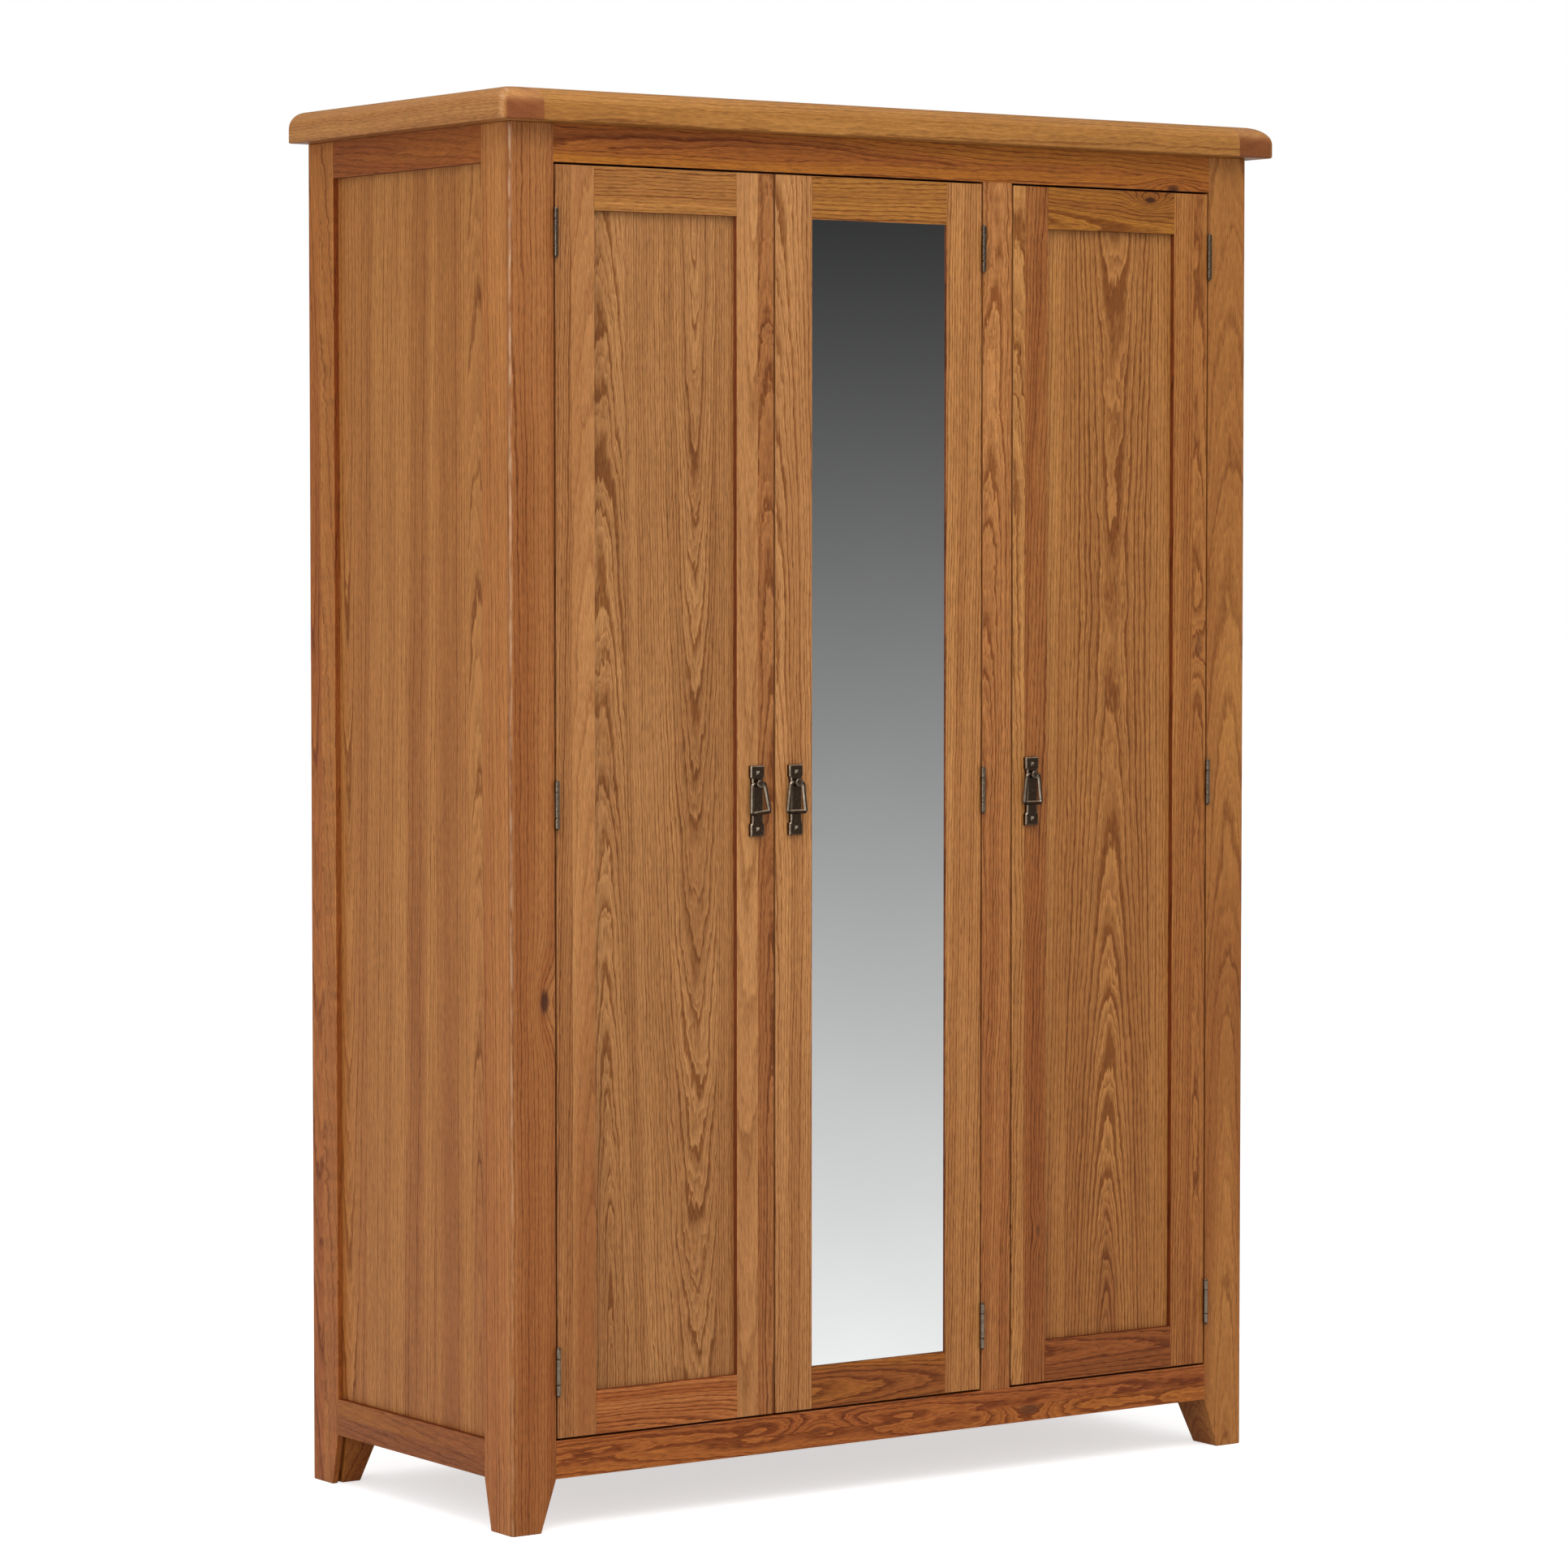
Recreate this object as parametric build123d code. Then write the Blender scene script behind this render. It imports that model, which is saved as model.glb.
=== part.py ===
from build123d import *
import os

# Free-standing wardrobe with three doors.
# Millimetres. +X runs to the right of someone facing the doors, +Y to the back, +Z up.
# The origin is on the floor, at the centre of the box that the whole wardrobe fills.

# Overall
body_width = 1275.0
body_depth = 540.0
height = 1948.0

# Top board
top_thickness = 45.0
top_overhang = 30.0
top_round_height = 25.0
top_round_depth = 31.0
top_corner_radius = 10.0
top_arris = 2.5
top_end_width = 67.0
top_tongue_length = 20.0
top_tongue_thickness = 12.0

# Corner posts and their feet
post_width = 70.0
post_depth = 72.0
post_corner_radius = 5.0
foot_height = 72.0
foot_width = 46.0
foot_depth = 55.0

# Rails, mullion and joinery
rail_height = 52.0
frame_thickness = 22.0
mullion_width = 51.0
tenon_length = 35.0
tenon_shoulder = 12.0
joint_play = 1.0
board_arris = 1.0

# Sunk panels of the sides and the doors
panel_recess = 8.5
panel_thickness = 8.0
groove_depth = 10.0

# Back boards
back_recess = 6.0
back_thickness = 10.0
back_board_count = 12
back_tongue_thickness = 3.4
back_tongue_length = 4.0
back_groove_depth = 4.5
back_chamfer = 2.0

# Doors
door_gap = 3.0
door_thickness = 22.0
stile_width = 62.0
door_rail_height = 60.0
door_tenon_length = 40.0

# Mirror in the middle door
mirror_recess = 3.0
mirror_thickness = 4.0
mirror_rebate = 8.0
backing_thickness = 6.0

# Inside
fit_play = 0.5
partition_thickness = 18.0
floor_thickness = 16.0
shelf_thickness = 18.0
shelf_setback = 10.0
shelf_count = 3
hat_space_height = 251.0
cleat_thickness = 22.0
cleat_height = 24.0
hat_cleat_height = 80.0
cleat_end_space = 60.0

# Hanging rail and its sockets
hanging_rail_radius = 14.0
hanging_rail_drop = 42.0
socket_clearance = 0.3
socket_wall = 3.0
socket_length = 14.0
socket_flange_radius = 27.0
socket_flange_thickness = 3.0

# Magnetic catches
catch_width = 44.0
catch_depth = 14.0
catch_reach = 13.0
catch_overlap = 20.0
catch_clearance = 0.3

# Hinges
hinge_length = 64.0
hinge_middle_knuckle = 35.0
hinge_end_distance = 94.5
knuckle_radius = 3.1
knuckle_clearance = 0.3
leaf_thickness = 2.0
leaf_depth = 18.0
leaf_gap = 0.4
pin_radius = 1.6
pin_clearance = 0.05
pin_cap_radius = 2.5
pin_cap_height = 2.0
screw_pitch = 22.0
screw_head_radius = 3.0
screw_shank_radius = 1.3
screw_length = 14.0
screw_clearance = 0.05

# Handles
handle_level = 983.5
plate_length = 98.0
plate_width = 23.0
plate_waist = 18.2
plate_end_length = 16.5
plate_step_length = 5.0
plate_thickness = 4.2
plate_bevel = 1.5
nail_end_distance = 10.0
nail_head_width = 6.0
nail_head_height = 2.2
nail_shank_radius = 1.2
nail_length = 14.0
nail_clearance = 0.1
stud_drop = 25.2
stud_neck_radius = 4.4
stud_head_radius = 5.9
stud_head_thickness = 3.2
stud_dome = 1.2
stud_shank_radius = 2.5
stud_shank_length = 12.0
ring_pivot_height = 3.3
ring_pin_radius = 2.0
ring_pin_clearance = 0.08
ring_swing_clearance = 0.3
ring_head_space = 1.2
ring_top_width = 26.0
ring_bottom_width = 38.5
ring_length = 46.0
ring_bar_width = 5.4
ring_thickness = 5.0
ring_bevel = 1.4
ring_bottom_radius = 5.0
ring_top_radius = 3.0


# Places worked out from the sizes above
left = -body_width / 2
right = body_width / 2
front = -(body_depth - top_overhang) / 2
back = front + body_depth
top_underside = height - top_thickness
opening_bottom = foot_height + rail_height
opening_top = top_underside - rail_height
hat_shelf_level = opening_top - hat_space_height
panel_tongue = groove_depth - joint_play
door_width = (body_width - 2 * post_width - mullion_width - 5 * door_gap) / 3
door_bottom = opening_bottom + door_gap
door_top = opening_top - door_gap


def grown(span, amount):
    """A (low, high) span made longer by the amount at both ends."""
    return (span[0] - amount, span[1] + amount)


def block(x, y, z):
    """A box from three (low, high) spans, each given in either order."""
    spans = [sorted(span) for span in (x, y, z)]
    size = [high - low for low, high in spans]
    centre = [(high + low) / 2 for low, high in spans]
    return Pos(*centre) * Box(*size)


def cylinder_x(radius, x, y, z):
    """A cylinder along X over the span x, with its axis at y, z."""
    low, high = sorted(x)
    return Pos((low + high) / 2, y, z) * Rot(0, 90, 0) * Cylinder(radius, high - low)


def cylinder_y(radius, x, y, z):
    """A cylinder along Y over the span y, with its axis at x, z."""
    low, high = sorted(y)
    return Pos(x, (low + high) / 2, z) * Rot(90, 0, 0) * Cylinder(radius, high - low)


def cylinder_z(radius, x, y, z):
    """A cylinder along Z over the span z, with its axis at x, y."""
    low, high = sorted(z)
    return Pos(x, y, (low + high) / 2) * Cylinder(radius, high - low)


def joined(shapes):
    """Separate solids kept together as one group."""
    return Compound(children=[solid for shape in shapes for solid in shape.solids()])


def along(shape, axis, **limits):
    """Edges parallel to an axis whose middle lies within the given spans."""
    found = []
    for edge in shape.edges().filter_by(axis):
        middle = edge.center()
        if all(low <= getattr(middle, name) <= high for name, (low, high) in limits.items()):
            found.append(edge)
    return found


def near(value, margin=0.01):
    """A narrow span about a value."""
    return (value - margin, value + margin)


# Spans shared by the pieces that meet
bay_x = (left + post_width, right - post_width)
side_y = (front + post_depth, back - post_depth)
frame_y = (front, front + frame_thickness)
front_tongue_y = (front + panel_recess, front + panel_recess + panel_thickness)
back_frame_y = (back - frame_thickness, back)
back_board_y = (back - back_recess - back_thickness, back - back_recess)
bottom_rail_z = (foot_height, opening_bottom)
top_rail_z = (opening_top, top_underside)
opening_z = (opening_bottom, opening_top)
mullion_left = left + post_width + 2 * door_width + 3 * door_gap
mullion_x = (mullion_left, mullion_left + mullion_width)
partition_middle = (mullion_x[0] + mullion_x[1]) / 2
partition_x = grown((partition_middle, partition_middle), partition_thickness / 2)


def side_span(side, start, end):
    """An X span measured inwards from the left (-1) or right (+1) outer face."""
    outer = side * body_width / 2
    return sorted((outer - side * start, outer - side * end))


def side_tongue_x(side):
    return side_span(side, panel_recess, panel_recess + panel_thickness)


# Mortise and tenon: a core block runs through each rail and stands out as its tenons
def front_rail(z):
    return block(bay_x, frame_y, z) + front_rail_core(z, 0)


def front_rail_core(z, play):
    return block(grown(bay_x, tenon_length + play), front_tongue_y, grown(z, -tenon_shoulder))


def back_rail(z):
    return block(bay_x, back_frame_y, z) + back_rail_core(z, 0)


def back_rail_core(z, play):
    return block(grown(bay_x, tenon_length + play), back_board_y, grown(z, -tenon_shoulder))


def side_rail(side, z):
    return block(side_span(side, 0, frame_thickness), side_y, z) + side_rail_core(side, z, 0)


def side_rail_core(side, z, play):
    return block(side_tongue_x(side), grown(side_y, tenon_length + play), grown(z, -tenon_shoulder))


def mullion_core(play):
    return block(grown(mullion_x, -tenon_shoulder), front_tongue_y, grown(opening_z, tenon_length + play))


def side_panel(side, reach):
    """A sunk side panel whose edges reach the given distance into the frame."""
    return block(side_tongue_x(side), grown(side_y, reach), grown(opening_z, reach))


def back_field(reach):
    """The whole field of back boards, reaching into the frame."""
    return block(grown(bay_x, reach), back_board_y, grown(opening_z, reach))


def corner_post(side, end):
    """A corner post: side is -1 left or +1 right, end is -1 front or +1 back."""
    outer_x = side * body_width / 2
    outer_y = front if end < 0 else back
    inner_x = outer_x - side * post_width
    inner_y = outer_y - end * post_depth
    shaft = block((outer_x, inner_x), (outer_y, inner_y), (foot_height, top_underside))
    sole = Plane.XY * Pos(outer_x - side * foot_width / 2, outer_y - end * foot_depth / 2)
    ankle = Plane.XY.offset(foot_height) * Pos((outer_x + inner_x) / 2, (outer_y + inner_y) / 2)
    foot = loft([sole * Rectangle(foot_width, foot_depth), ankle * Rectangle(post_width, post_depth)])
    post = (shaft + foot).clean()
    outer_edge = along(post, Axis.Z, X=near(outer_x), Y=near(outer_y))
    post = fillet(outer_edge, post_corner_radius)
    inner_edges = along(post, Axis.Z, X=near(inner_x), Y=near(outer_y))
    inner_edges += along(post, Axis.Z, X=near(outer_x), Y=near(inner_y))
    post = fillet(inner_edges, board_arris)
    for z in (bottom_rail_z, top_rail_z):
        post -= side_rail_core(side, z, joint_play)
        post -= front_rail_core(z, joint_play) if end < 0 else back_rail_core(z, joint_play)
    post -= side_panel(side, groove_depth)
    if end > 0:
        post -= back_field(groove_depth)
    return post


def eased(board, edges):
    """A board with the given edges rounded to its arris."""
    return fillet(edges, board_arris)


def front_rails():
    """Top and bottom front rails, mortised for the mullion."""
    rails = []
    for z, visible_edge in ((top_rail_z, opening_top), (bottom_rail_z, opening_bottom)):
        rail = front_rail(z)
        rail = eased(rail, along(rail, Axis.X, Y=near(front), Z=near(visible_edge)))
        rails.append(rail - mullion_core(joint_play))
    return rails


def side_rails(side):
    """Top and bottom rails of one side, grooved for its panel."""
    outer_x = side * body_width / 2
    rails = []
    for z, visible_edge in ((top_rail_z, opening_top), (bottom_rail_z, opening_bottom)):
        rail = side_rail(side, z)
        rail = eased(rail, along(rail, Axis.Y, X=near(outer_x), Z=near(visible_edge)))
        rails.append(rail - side_panel(side, groove_depth))
    return rails


def mullion():
    post = block(mullion_x, frame_y, opening_z) + mullion_core(0)
    arrises = [edge for x in mullion_x for edge in along(post, Axis.Z, X=near(x), Y=near(front))]
    return eased(post, arrises)


def back_rails():
    return joined([back_rail(z) - back_field(groove_depth) for z in (top_rail_z, bottom_rail_z)])


def back_boards():
    """Upright tongued and grooved boards with a small V at each joint."""
    low_y, high_y = back_board_y
    middle = (low_y + high_y) / 2
    tongue_y = grown((middle, middle), back_tongue_thickness / 2)
    pitch = (bay_x[1] - bay_x[0]) / back_board_count
    field_z = grown(opening_z, panel_tongue)
    boards = []
    for index in range(back_board_count):
        x0 = bay_x[0] + index * pitch
        x1 = x0 + pitch
        if index == 0:
            outline = [(x0 - panel_tongue, high_y), (x0 - panel_tongue, low_y)]
        else:
            floor_x = x0 + back_groove_depth
            outline = [
                (x0 + back_chamfer, high_y), (x0, high_y - back_chamfer), (x0, tongue_y[1]),
                (floor_x, tongue_y[1]), (floor_x, tongue_y[0]),
                (x0, tongue_y[0]), (x0, low_y + back_chamfer), (x0 + back_chamfer, low_y),
            ]
        if index == back_board_count - 1:
            outline += [(x1 + panel_tongue, low_y), (x1 + panel_tongue, high_y)]
        else:
            tip_x = x1 + back_tongue_length
            outline += [
                (x1 - back_chamfer, low_y), (x1, low_y + back_chamfer), (x1, tongue_y[0]),
                (tip_x, tongue_y[0]), (tip_x, tongue_y[1]),
                (x1, tongue_y[1]), (x1, high_y - back_chamfer), (x1 - back_chamfer, high_y),
            ]
        section = make_face(Polyline(*outline, close=True))
        boards.append(Pos(0, 0, field_z[0]) * extrude(section, field_z[1] - field_z[0]))
    return joined(boards)


# The top
def round_over(width, depth):
    """What a round-over takes from the upper corner of a section, at the origin corner."""
    corner = Pos(width / 2, -depth / 2) * Rectangle(width, depth)
    return corner - Pos(width, -depth) * Ellipse(width, depth)


def whole_top():
    """The top before it is parted into its field and two end boards."""
    top_x = (left - top_overhang, right + top_overhang)
    top_y = (front - top_overhang, back)
    width = top_x[1] - top_x[0]
    depth = top_y[1] - top_y[0]
    cut = round_over(top_round_depth, top_round_height)
    across = Rectangle(width, top_thickness)
    for side in (-1, 1):
        corner = Pos(side * width / 2, top_thickness / 2)
        across -= corner * (cut if side < 0 else mirror(cut, Plane.YZ))
    along_depth = Rectangle(depth, top_thickness) - Pos(-depth / 2, top_thickness / 2) * cut
    level = top_underside + top_thickness / 2
    middle_y = (top_y[0] + top_y[1]) / 2
    side_to_side = extrude(Plane((0, middle_y, level), x_dir=(1, 0, 0), z_dir=(0, -1, 0)) * across, depth, both=True)
    front_to_back = extrude(Plane((0, middle_y, level), x_dir=(0, 1, 0), z_dir=(1, 0, 0)) * along_depth, width, both=True)
    plan = block(top_x, top_y, (top_underside, height))
    plan = fillet(along(plan, Axis.Z, Y=near(top_y[0])), top_corner_radius)
    under = plan.faces().sort_by(Axis.Z)[0]
    plan = fillet(under.edges(), top_arris)
    return plan & side_to_side & front_to_back


def top_boards():
    """Field and end boards of the top; the field's tongues run into the end boards."""
    top = whole_top()
    field_x = (left - top_overhang + top_end_width, right + top_overhang - top_end_width)
    tongue_z = grown((top_underside + top_thickness / 2 - top_arris,) * 2, top_tongue_thickness / 2)
    tongue_y = (front, back - top_end_width)
    everywhere = grown((left, right), body_width)
    field_block = block(field_x, everywhere, (top_underside - 1, height + 1))
    tongue = block(grown(field_x, top_tongue_length), tongue_y, tongue_z)
    slot = block(grown(field_x, top_tongue_length + joint_play), tongue_y, tongue_z)
    field = (top & field_block) + tongue
    ends = top - field_block - slot
    left_end, right_end = ends.solids().sort_by(Axis.X)
    return field, left_end, right_end


# Doors
doors = {
    # name: (low x of the door, side of its hinges)
    "left": (left + post_width + door_gap, -1),
    "mirror": (left + post_width + 2 * door_gap + door_width, 1),
    "right": (mullion_x[1] + door_gap, 1),
}
door_y = (front, front + door_thickness)
door_z = (door_bottom, door_top)
door_inner_z = grown(door_z, -door_rail_height)


def door_spans(name):
    """X spans of the whole door, and of the space between its stiles."""
    low, _ = doors[name]
    whole = (low, low + door_width)
    return whole, grown(whole, -stile_width)


def door_rail_core(name, z, play):
    _, inner = door_spans(name)
    return block(grown(inner, door_tenon_length + play), front_tongue_y, grown(z, -tenon_shoulder))


def door_panel(name, reach):
    _, inner = door_spans(name)
    return block(grown(inner, reach), front_tongue_y, grown(door_inner_z, reach))


def mirror_layer(start, thickness, play):
    """A sheet in the middle door's rebate, from start behind the door's face."""
    _, inner = door_spans("mirror")
    reach = mirror_rebate - joint_play + play
    return block(grown(inner, reach), (front + start, front + start + thickness), grown(door_inner_z, reach))


def infill_space(name):
    """What a door's frame gives up to its panel or its mirror."""
    if name == "mirror":
        return mirror_layer(mirror_recess, door_thickness - mirror_recess, joint_play)
    return door_panel(name, groove_depth)


def rounded_front(board):
    """A door board with its front edges eased."""
    return eased(board, board.edges().filter_by(lambda edge: abs(edge.center().Y - front) < 0.01))


def door_frame(name):
    """Hinge stile, lock stile, top rail and bottom rail of a door."""
    whole, inner = door_spans(name)
    hinge_side = doors[name][1]
    rail_spans = ((door_inner_z[1], door_top), (door_bottom, door_inner_z[0]))
    stiles = []
    for side, x in ((-1, (whole[0], inner[0])), (1, (inner[1], whole[1]))):
        stile = rounded_front(block(x, door_y, door_z)) - infill_space(name)
        for z in rail_spans:
            stile -= door_rail_core(name, z, joint_play)
        stiles.append((side != hinge_side, stile))
    hinge_stile, lock_stile = [stile for _, stile in sorted(stiles, key=lambda pair: pair[0])]
    rails = []
    for z in rail_spans:
        rail = rounded_front(block(inner, door_y, z)) + door_rail_core(name, z, 0)
        rails.append(rail - infill_space(name))
    return hinge_stile, lock_stile, rails[0], rails[1]


# Hinges: all nine are alike; toward is +1 where the door lies to the right of the pin
hinge_y = front - knuckle_radius - knuckle_clearance
hinge_levels = (
    opening_bottom + hinge_end_distance,
    (opening_bottom + opening_top) / 2,
    opening_top - hinge_end_distance,
)


def hinge_place(name):
    """X of a door's hinge pins, and the direction from them towards the door."""
    whole, _ = door_spans(name)
    side = doors[name][1]
    edge = whole[0] if side < 0 else whole[1]
    return edge + side * door_gap / 2, -side


def leaf_x(pin_x, toward):
    """X span of the leaf that lies towards the given direction from the pin."""
    return (pin_x + toward * leaf_gap / 2, pin_x + toward * (leaf_gap / 2 + leaf_thickness))


def leaf_blank(pin_x, toward, level):
    """The flat of a leaf, let into the wood behind the front face."""
    z = grown((level, level), hinge_length / 2)
    return block(leaf_x(pin_x, toward), (front, front + leaf_depth), z)


def screw_levels(level):
    return (level - screw_pitch, level, level + screw_pitch)


def hinge_screw(pin_x, toward, level, clearance=0.0):
    """A countersunk screw driven through a leaf, away from the pin."""
    start = pin_x + toward * leaf_gap / 2
    y = front + leaf_depth / 2
    head = Cone(screw_shank_radius + clearance, screw_head_radius + clearance, leaf_thickness)
    middle = start + toward * leaf_thickness / 2
    head = Pos(middle, y, level) * Rot(0, -90 * toward, 0) * head
    shank = (start + toward * leaf_thickness, start + toward * (screw_length + clearance))
    return head + cylinder_x(screw_shank_radius + clearance, shank, y, level)


def knuckle(pin_x, toward, z):
    """One knuckle and the strip that ties it to its leaf."""
    barrel = cylinder_z(knuckle_radius, pin_x, hinge_y, z)
    return barrel + block(leaf_x(pin_x, toward), (hinge_y, front), z)


def hinge_leaf(pin_x, toward, level, middle_one):
    """A leaf with the middle knuckle, or with the two end ones."""
    half = hinge_length / 2
    inner = hinge_middle_knuckle / 2
    if middle_one:
        spans = [(level - inner, level + inner)]
    else:
        spans = [(level - half, level - inner - knuckle_clearance)]
        spans.append((level + inner + knuckle_clearance, level + half))
    leaf = leaf_blank(pin_x, toward, level)
    for z in spans:
        leaf += knuckle(pin_x, toward, z)
    leaf -= cylinder_z(pin_radius + pin_clearance, pin_x, hinge_y, grown((level, level), half))
    for z in screw_levels(level):
        leaf -= hinge_screw(pin_x, toward, z, screw_clearance)
    return leaf


def hinge_pin(pin_x, level):
    """A pin with a rounded cap at each end of the barrel."""
    half = hinge_length / 2
    pin = cylinder_z(pin_radius, pin_x, hinge_y, grown((level, level), half))
    for end in (-1, 1):
        span = (level + end * half, level + end * (half + pin_cap_height))
        cap = cylinder_z(pin_cap_radius, pin_x, hinge_y, span)
        rim = cap.edges().group_by(Axis.Z)[-1 if end > 0 else 0]
        pin += fillet(rim, pin_cap_height * 0.8)
    return pin


def hinge_recesses(names, toward_door):
    """What hinge leaves and screws take out of the wood on one side of the pins."""
    cuts = []
    for name in names:
        pin_x, toward = hinge_place(name)
        direction = toward if toward_door else -toward
        for level in hinge_levels:
            cuts.append(leaf_blank(pin_x, direction, level))
            cuts += [hinge_screw(pin_x, direction, z, screw_clearance) for z in screw_levels(level)]
    return cuts


def all_hinge_places():
    for name in doors:
        pin_x, toward = hinge_place(name)
        for level in hinge_levels:
            yield pin_x, toward, level


def frame_hinge_leaves():
    return joined([hinge_leaf(x, -toward, z, False) for x, toward, z in all_hinge_places()])


def frame_hinge_screws():
    screws = []
    for pin_x, toward, level in all_hinge_places():
        screws += [hinge_screw(pin_x, -toward, z) for z in screw_levels(level)]
    return joined(screws)


def hinge_pins():
    return joined([hinge_pin(x, z) for x, _, z in all_hinge_places()])


def door_hinge_leaves(name):
    pin_x, toward = hinge_place(name)
    return joined([hinge_leaf(pin_x, toward, level, True) for level in hinge_levels])


def door_hinge_screws(name):
    pin_x, toward = hinge_place(name)
    levels = [z for level in hinge_levels for z in screw_levels(level)]
    return joined([hinge_screw(pin_x, toward, z) for z in levels])


# Handles: each hangs from the middle of its door's lock stile
plate_y = front - plate_thickness
ring_pivot_y = plate_y - ring_pivot_height
ring_pivot_z = handle_level + plate_length / 2 - stud_drop
nail_levels = [handle_level + end * (plate_length / 2 - nail_end_distance) for end in (-1, 1)]


def handle_x(name):
    """Middle of the lock stile."""
    whole, _ = door_spans(name)
    side = doors[name][1]
    return whole[1] - stile_width / 2 if side < 0 else whole[0] + stile_width / 2


def handle_plane(name, y):
    """A plane facing the viewer at depth y, centred on the handle."""
    return Plane((handle_x(name), y, handle_level), x_dir=(1, 0, 0), z_dir=(0, -1, 0))


def handle_plate(name):
    """Cast back plate: wide ends step in along a hollow curve to the waist."""
    half = plate_length / 2
    wide = plate_width / 2
    waist = plate_waist / 2
    step_start = half - plate_end_length
    step_end = step_start - plate_step_length
    quarter = []
    for x_side, y_side in ((1, 1), (-1, 1), (-1, -1), (1, -1)):
        wide_point = (x_side * wide, y_side * step_start)
        waist_point = (x_side * waist, y_side * step_end)
        hollow = (x_side * (waist + (wide - waist) * 0.2), y_side * (step_end + plate_step_length * 0.62))
        quarter.append((wide_point, hollow, waist_point))
    top_right, top_left, low_left, low_right = quarter
    outline = Polyline(top_right[0], (wide, half), (-wide, half), top_left[0])
    outline += ThreePointArc(*top_left)
    outline += Line(top_left[2], low_left[2])
    outline += ThreePointArc(*reversed(low_left))
    outline += Polyline(low_left[0], (-wide, -half), (wide, -half), low_right[0])
    outline += ThreePointArc(*low_right)
    outline += Line(low_right[2], top_right[2])
    outline += ThreePointArc(*reversed(top_right))
    plate = extrude(handle_plane(name, front) * make_face(outline), plate_thickness)
    face = plate.faces().sort_by(Axis.Y)[0]
    plate = chamfer(face.edges(), plate_bevel)
    for z in nail_levels:
        plate -= cylinder_y(nail_shank_radius + nail_clearance, handle_x(name), (plate_y, front), z)
    return plate - stud_shank(name, nail_clearance)


def stud_shank(name, clearance):
    reach = (plate_y, front + stud_shank_length + clearance)
    return cylinder_y(stud_shank_radius + clearance, handle_x(name), reach, ring_pivot_z)


def handle_nails(name):
    """Two nails with low pyramid heads."""
    nails = []
    for z in nail_levels:
        place = Plane((handle_x(name), plate_y, z), x_dir=(1, 0, 0), z_dir=(0, -1, 0))
        base = place * Rectangle(nail_head_width, nail_head_width)
        tip = place.offset(nail_head_height) * Rectangle(nail_head_width / 10, nail_head_width / 10)
        shank = cylinder_y(nail_shank_radius, handle_x(name), (plate_y, plate_y + nail_length), z)
        nails.append(loft([base, tip]) + shank)
    return nails


def handle_holes(name):
    """Holes in the lock stile for the stud and the nails."""
    holes = [stud_shank(name, nail_clearance)]
    reach = (front, plate_y + nail_length + nail_clearance)
    for z in nail_levels:
        holes.append(cylinder_y(nail_shank_radius + nail_clearance, handle_x(name), reach, z))
    return holes


def handle_stud(name):
    """Stud with a low domed head; the ring's pin passes through its neck."""
    x = handle_x(name)
    neck_end = ring_pivot_y - ring_pin_radius - ring_head_space
    head_face = neck_end - stud_head_thickness
    neck = cylinder_y(stud_neck_radius, x, (plate_y, neck_end), ring_pivot_z)
    head = cylinder_y(stud_head_radius, x, (neck_end, head_face), ring_pivot_z)
    rim = head.edges().group_by(Axis.Y)[0]
    head = fillet(rim, stud_dome)
    eye_x = grown((x, x), stud_head_radius)
    eye = cylinder_x(ring_pin_radius + ring_pin_clearance, eye_x, ring_pivot_y, ring_pivot_z)
    return neck + head + stud_shank(name, 0) - eye


def ring_outline(inset, corner_top, corner_bottom):
    """A trapezium about the pivot, drawn in by inset, with rounded corners."""
    top = ring_bar_width / 2 - inset
    bottom = ring_bar_width / 2 - ring_length + inset
    slope = (ring_bottom_width - ring_top_width) / 2 / ring_length

    def half_width(level):
        drop = ring_bar_width / 2 - level
        return ring_top_width / 2 + slope * drop - inset

    top_half = half_width(top)
    bottom_half = half_width(bottom)
    corners = [(-top_half, top), (top_half, top), (bottom_half, bottom), (-bottom_half, bottom)]
    face = make_face(Polyline(*corners, close=True))
    upper = face.vertices().group_by(Axis.Y)[-1]
    face = fillet(upper, corner_top)
    lower = face.vertices().group_by(Axis.Y)[0]
    return fillet(lower, corner_bottom)


def drop_ring(name):
    """Hanging ring: a bevelled trapezium whose top bar thins to a pin inside the stud."""
    pivot = Plane((handle_x(name), ring_pivot_y, ring_pivot_z), x_dir=(1, 0, 0), z_dir=(0, -1, 0))
    outer = ring_outline(0, ring_top_radius, ring_bottom_radius)
    inner = ring_outline(ring_bar_width, ring_top_radius / 2, ring_bottom_radius / 2)
    ring = extrude(pivot * (outer - inner), ring_thickness / 2, both=True)
    faces = ring.faces().sort_by(Axis.Y)
    ring = chamfer(faces[0].edges() + faces[-1].edges(), ring_bevel)
    x = handle_x(name)
    shoulder = grown((x, x), stud_neck_radius + ring_swing_clearance)
    tall = grown((ring_pivot_z, ring_pivot_z), ring_bar_width)
    deep = grown((ring_pivot_y, ring_pivot_y), ring_thickness)
    ring -= block(shoulder, deep, tall)
    return ring + cylinder_x(ring_pin_radius, grown(shoulder, ring_bevel), ring_pivot_y, ring_pivot_z)


# Inside
side_inner = {side: side * (body_width / 2 - panel_recess - panel_thickness) for side in (-1, 1)}
rail_inner_x = (left + frame_thickness, right - frame_thickness)


def around_posts(board):
    """A board cut away, with a little play, where the corner posts stand."""
    tall = (0, height)
    for x in ((left, left + post_width), (right - post_width, right)):
        for y in ((front, front + post_depth), (back - post_depth, back)):
            board -= block(grown(x, fit_play), grown(y, fit_play), tall)
    return board


def floor_board():
    y = grown((front + frame_thickness, back - frame_thickness), -fit_play)
    z = (opening_bottom - floor_thickness, opening_bottom)
    return around_posts(block(grown(rail_inner_x, -fit_play), y, z))


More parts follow.
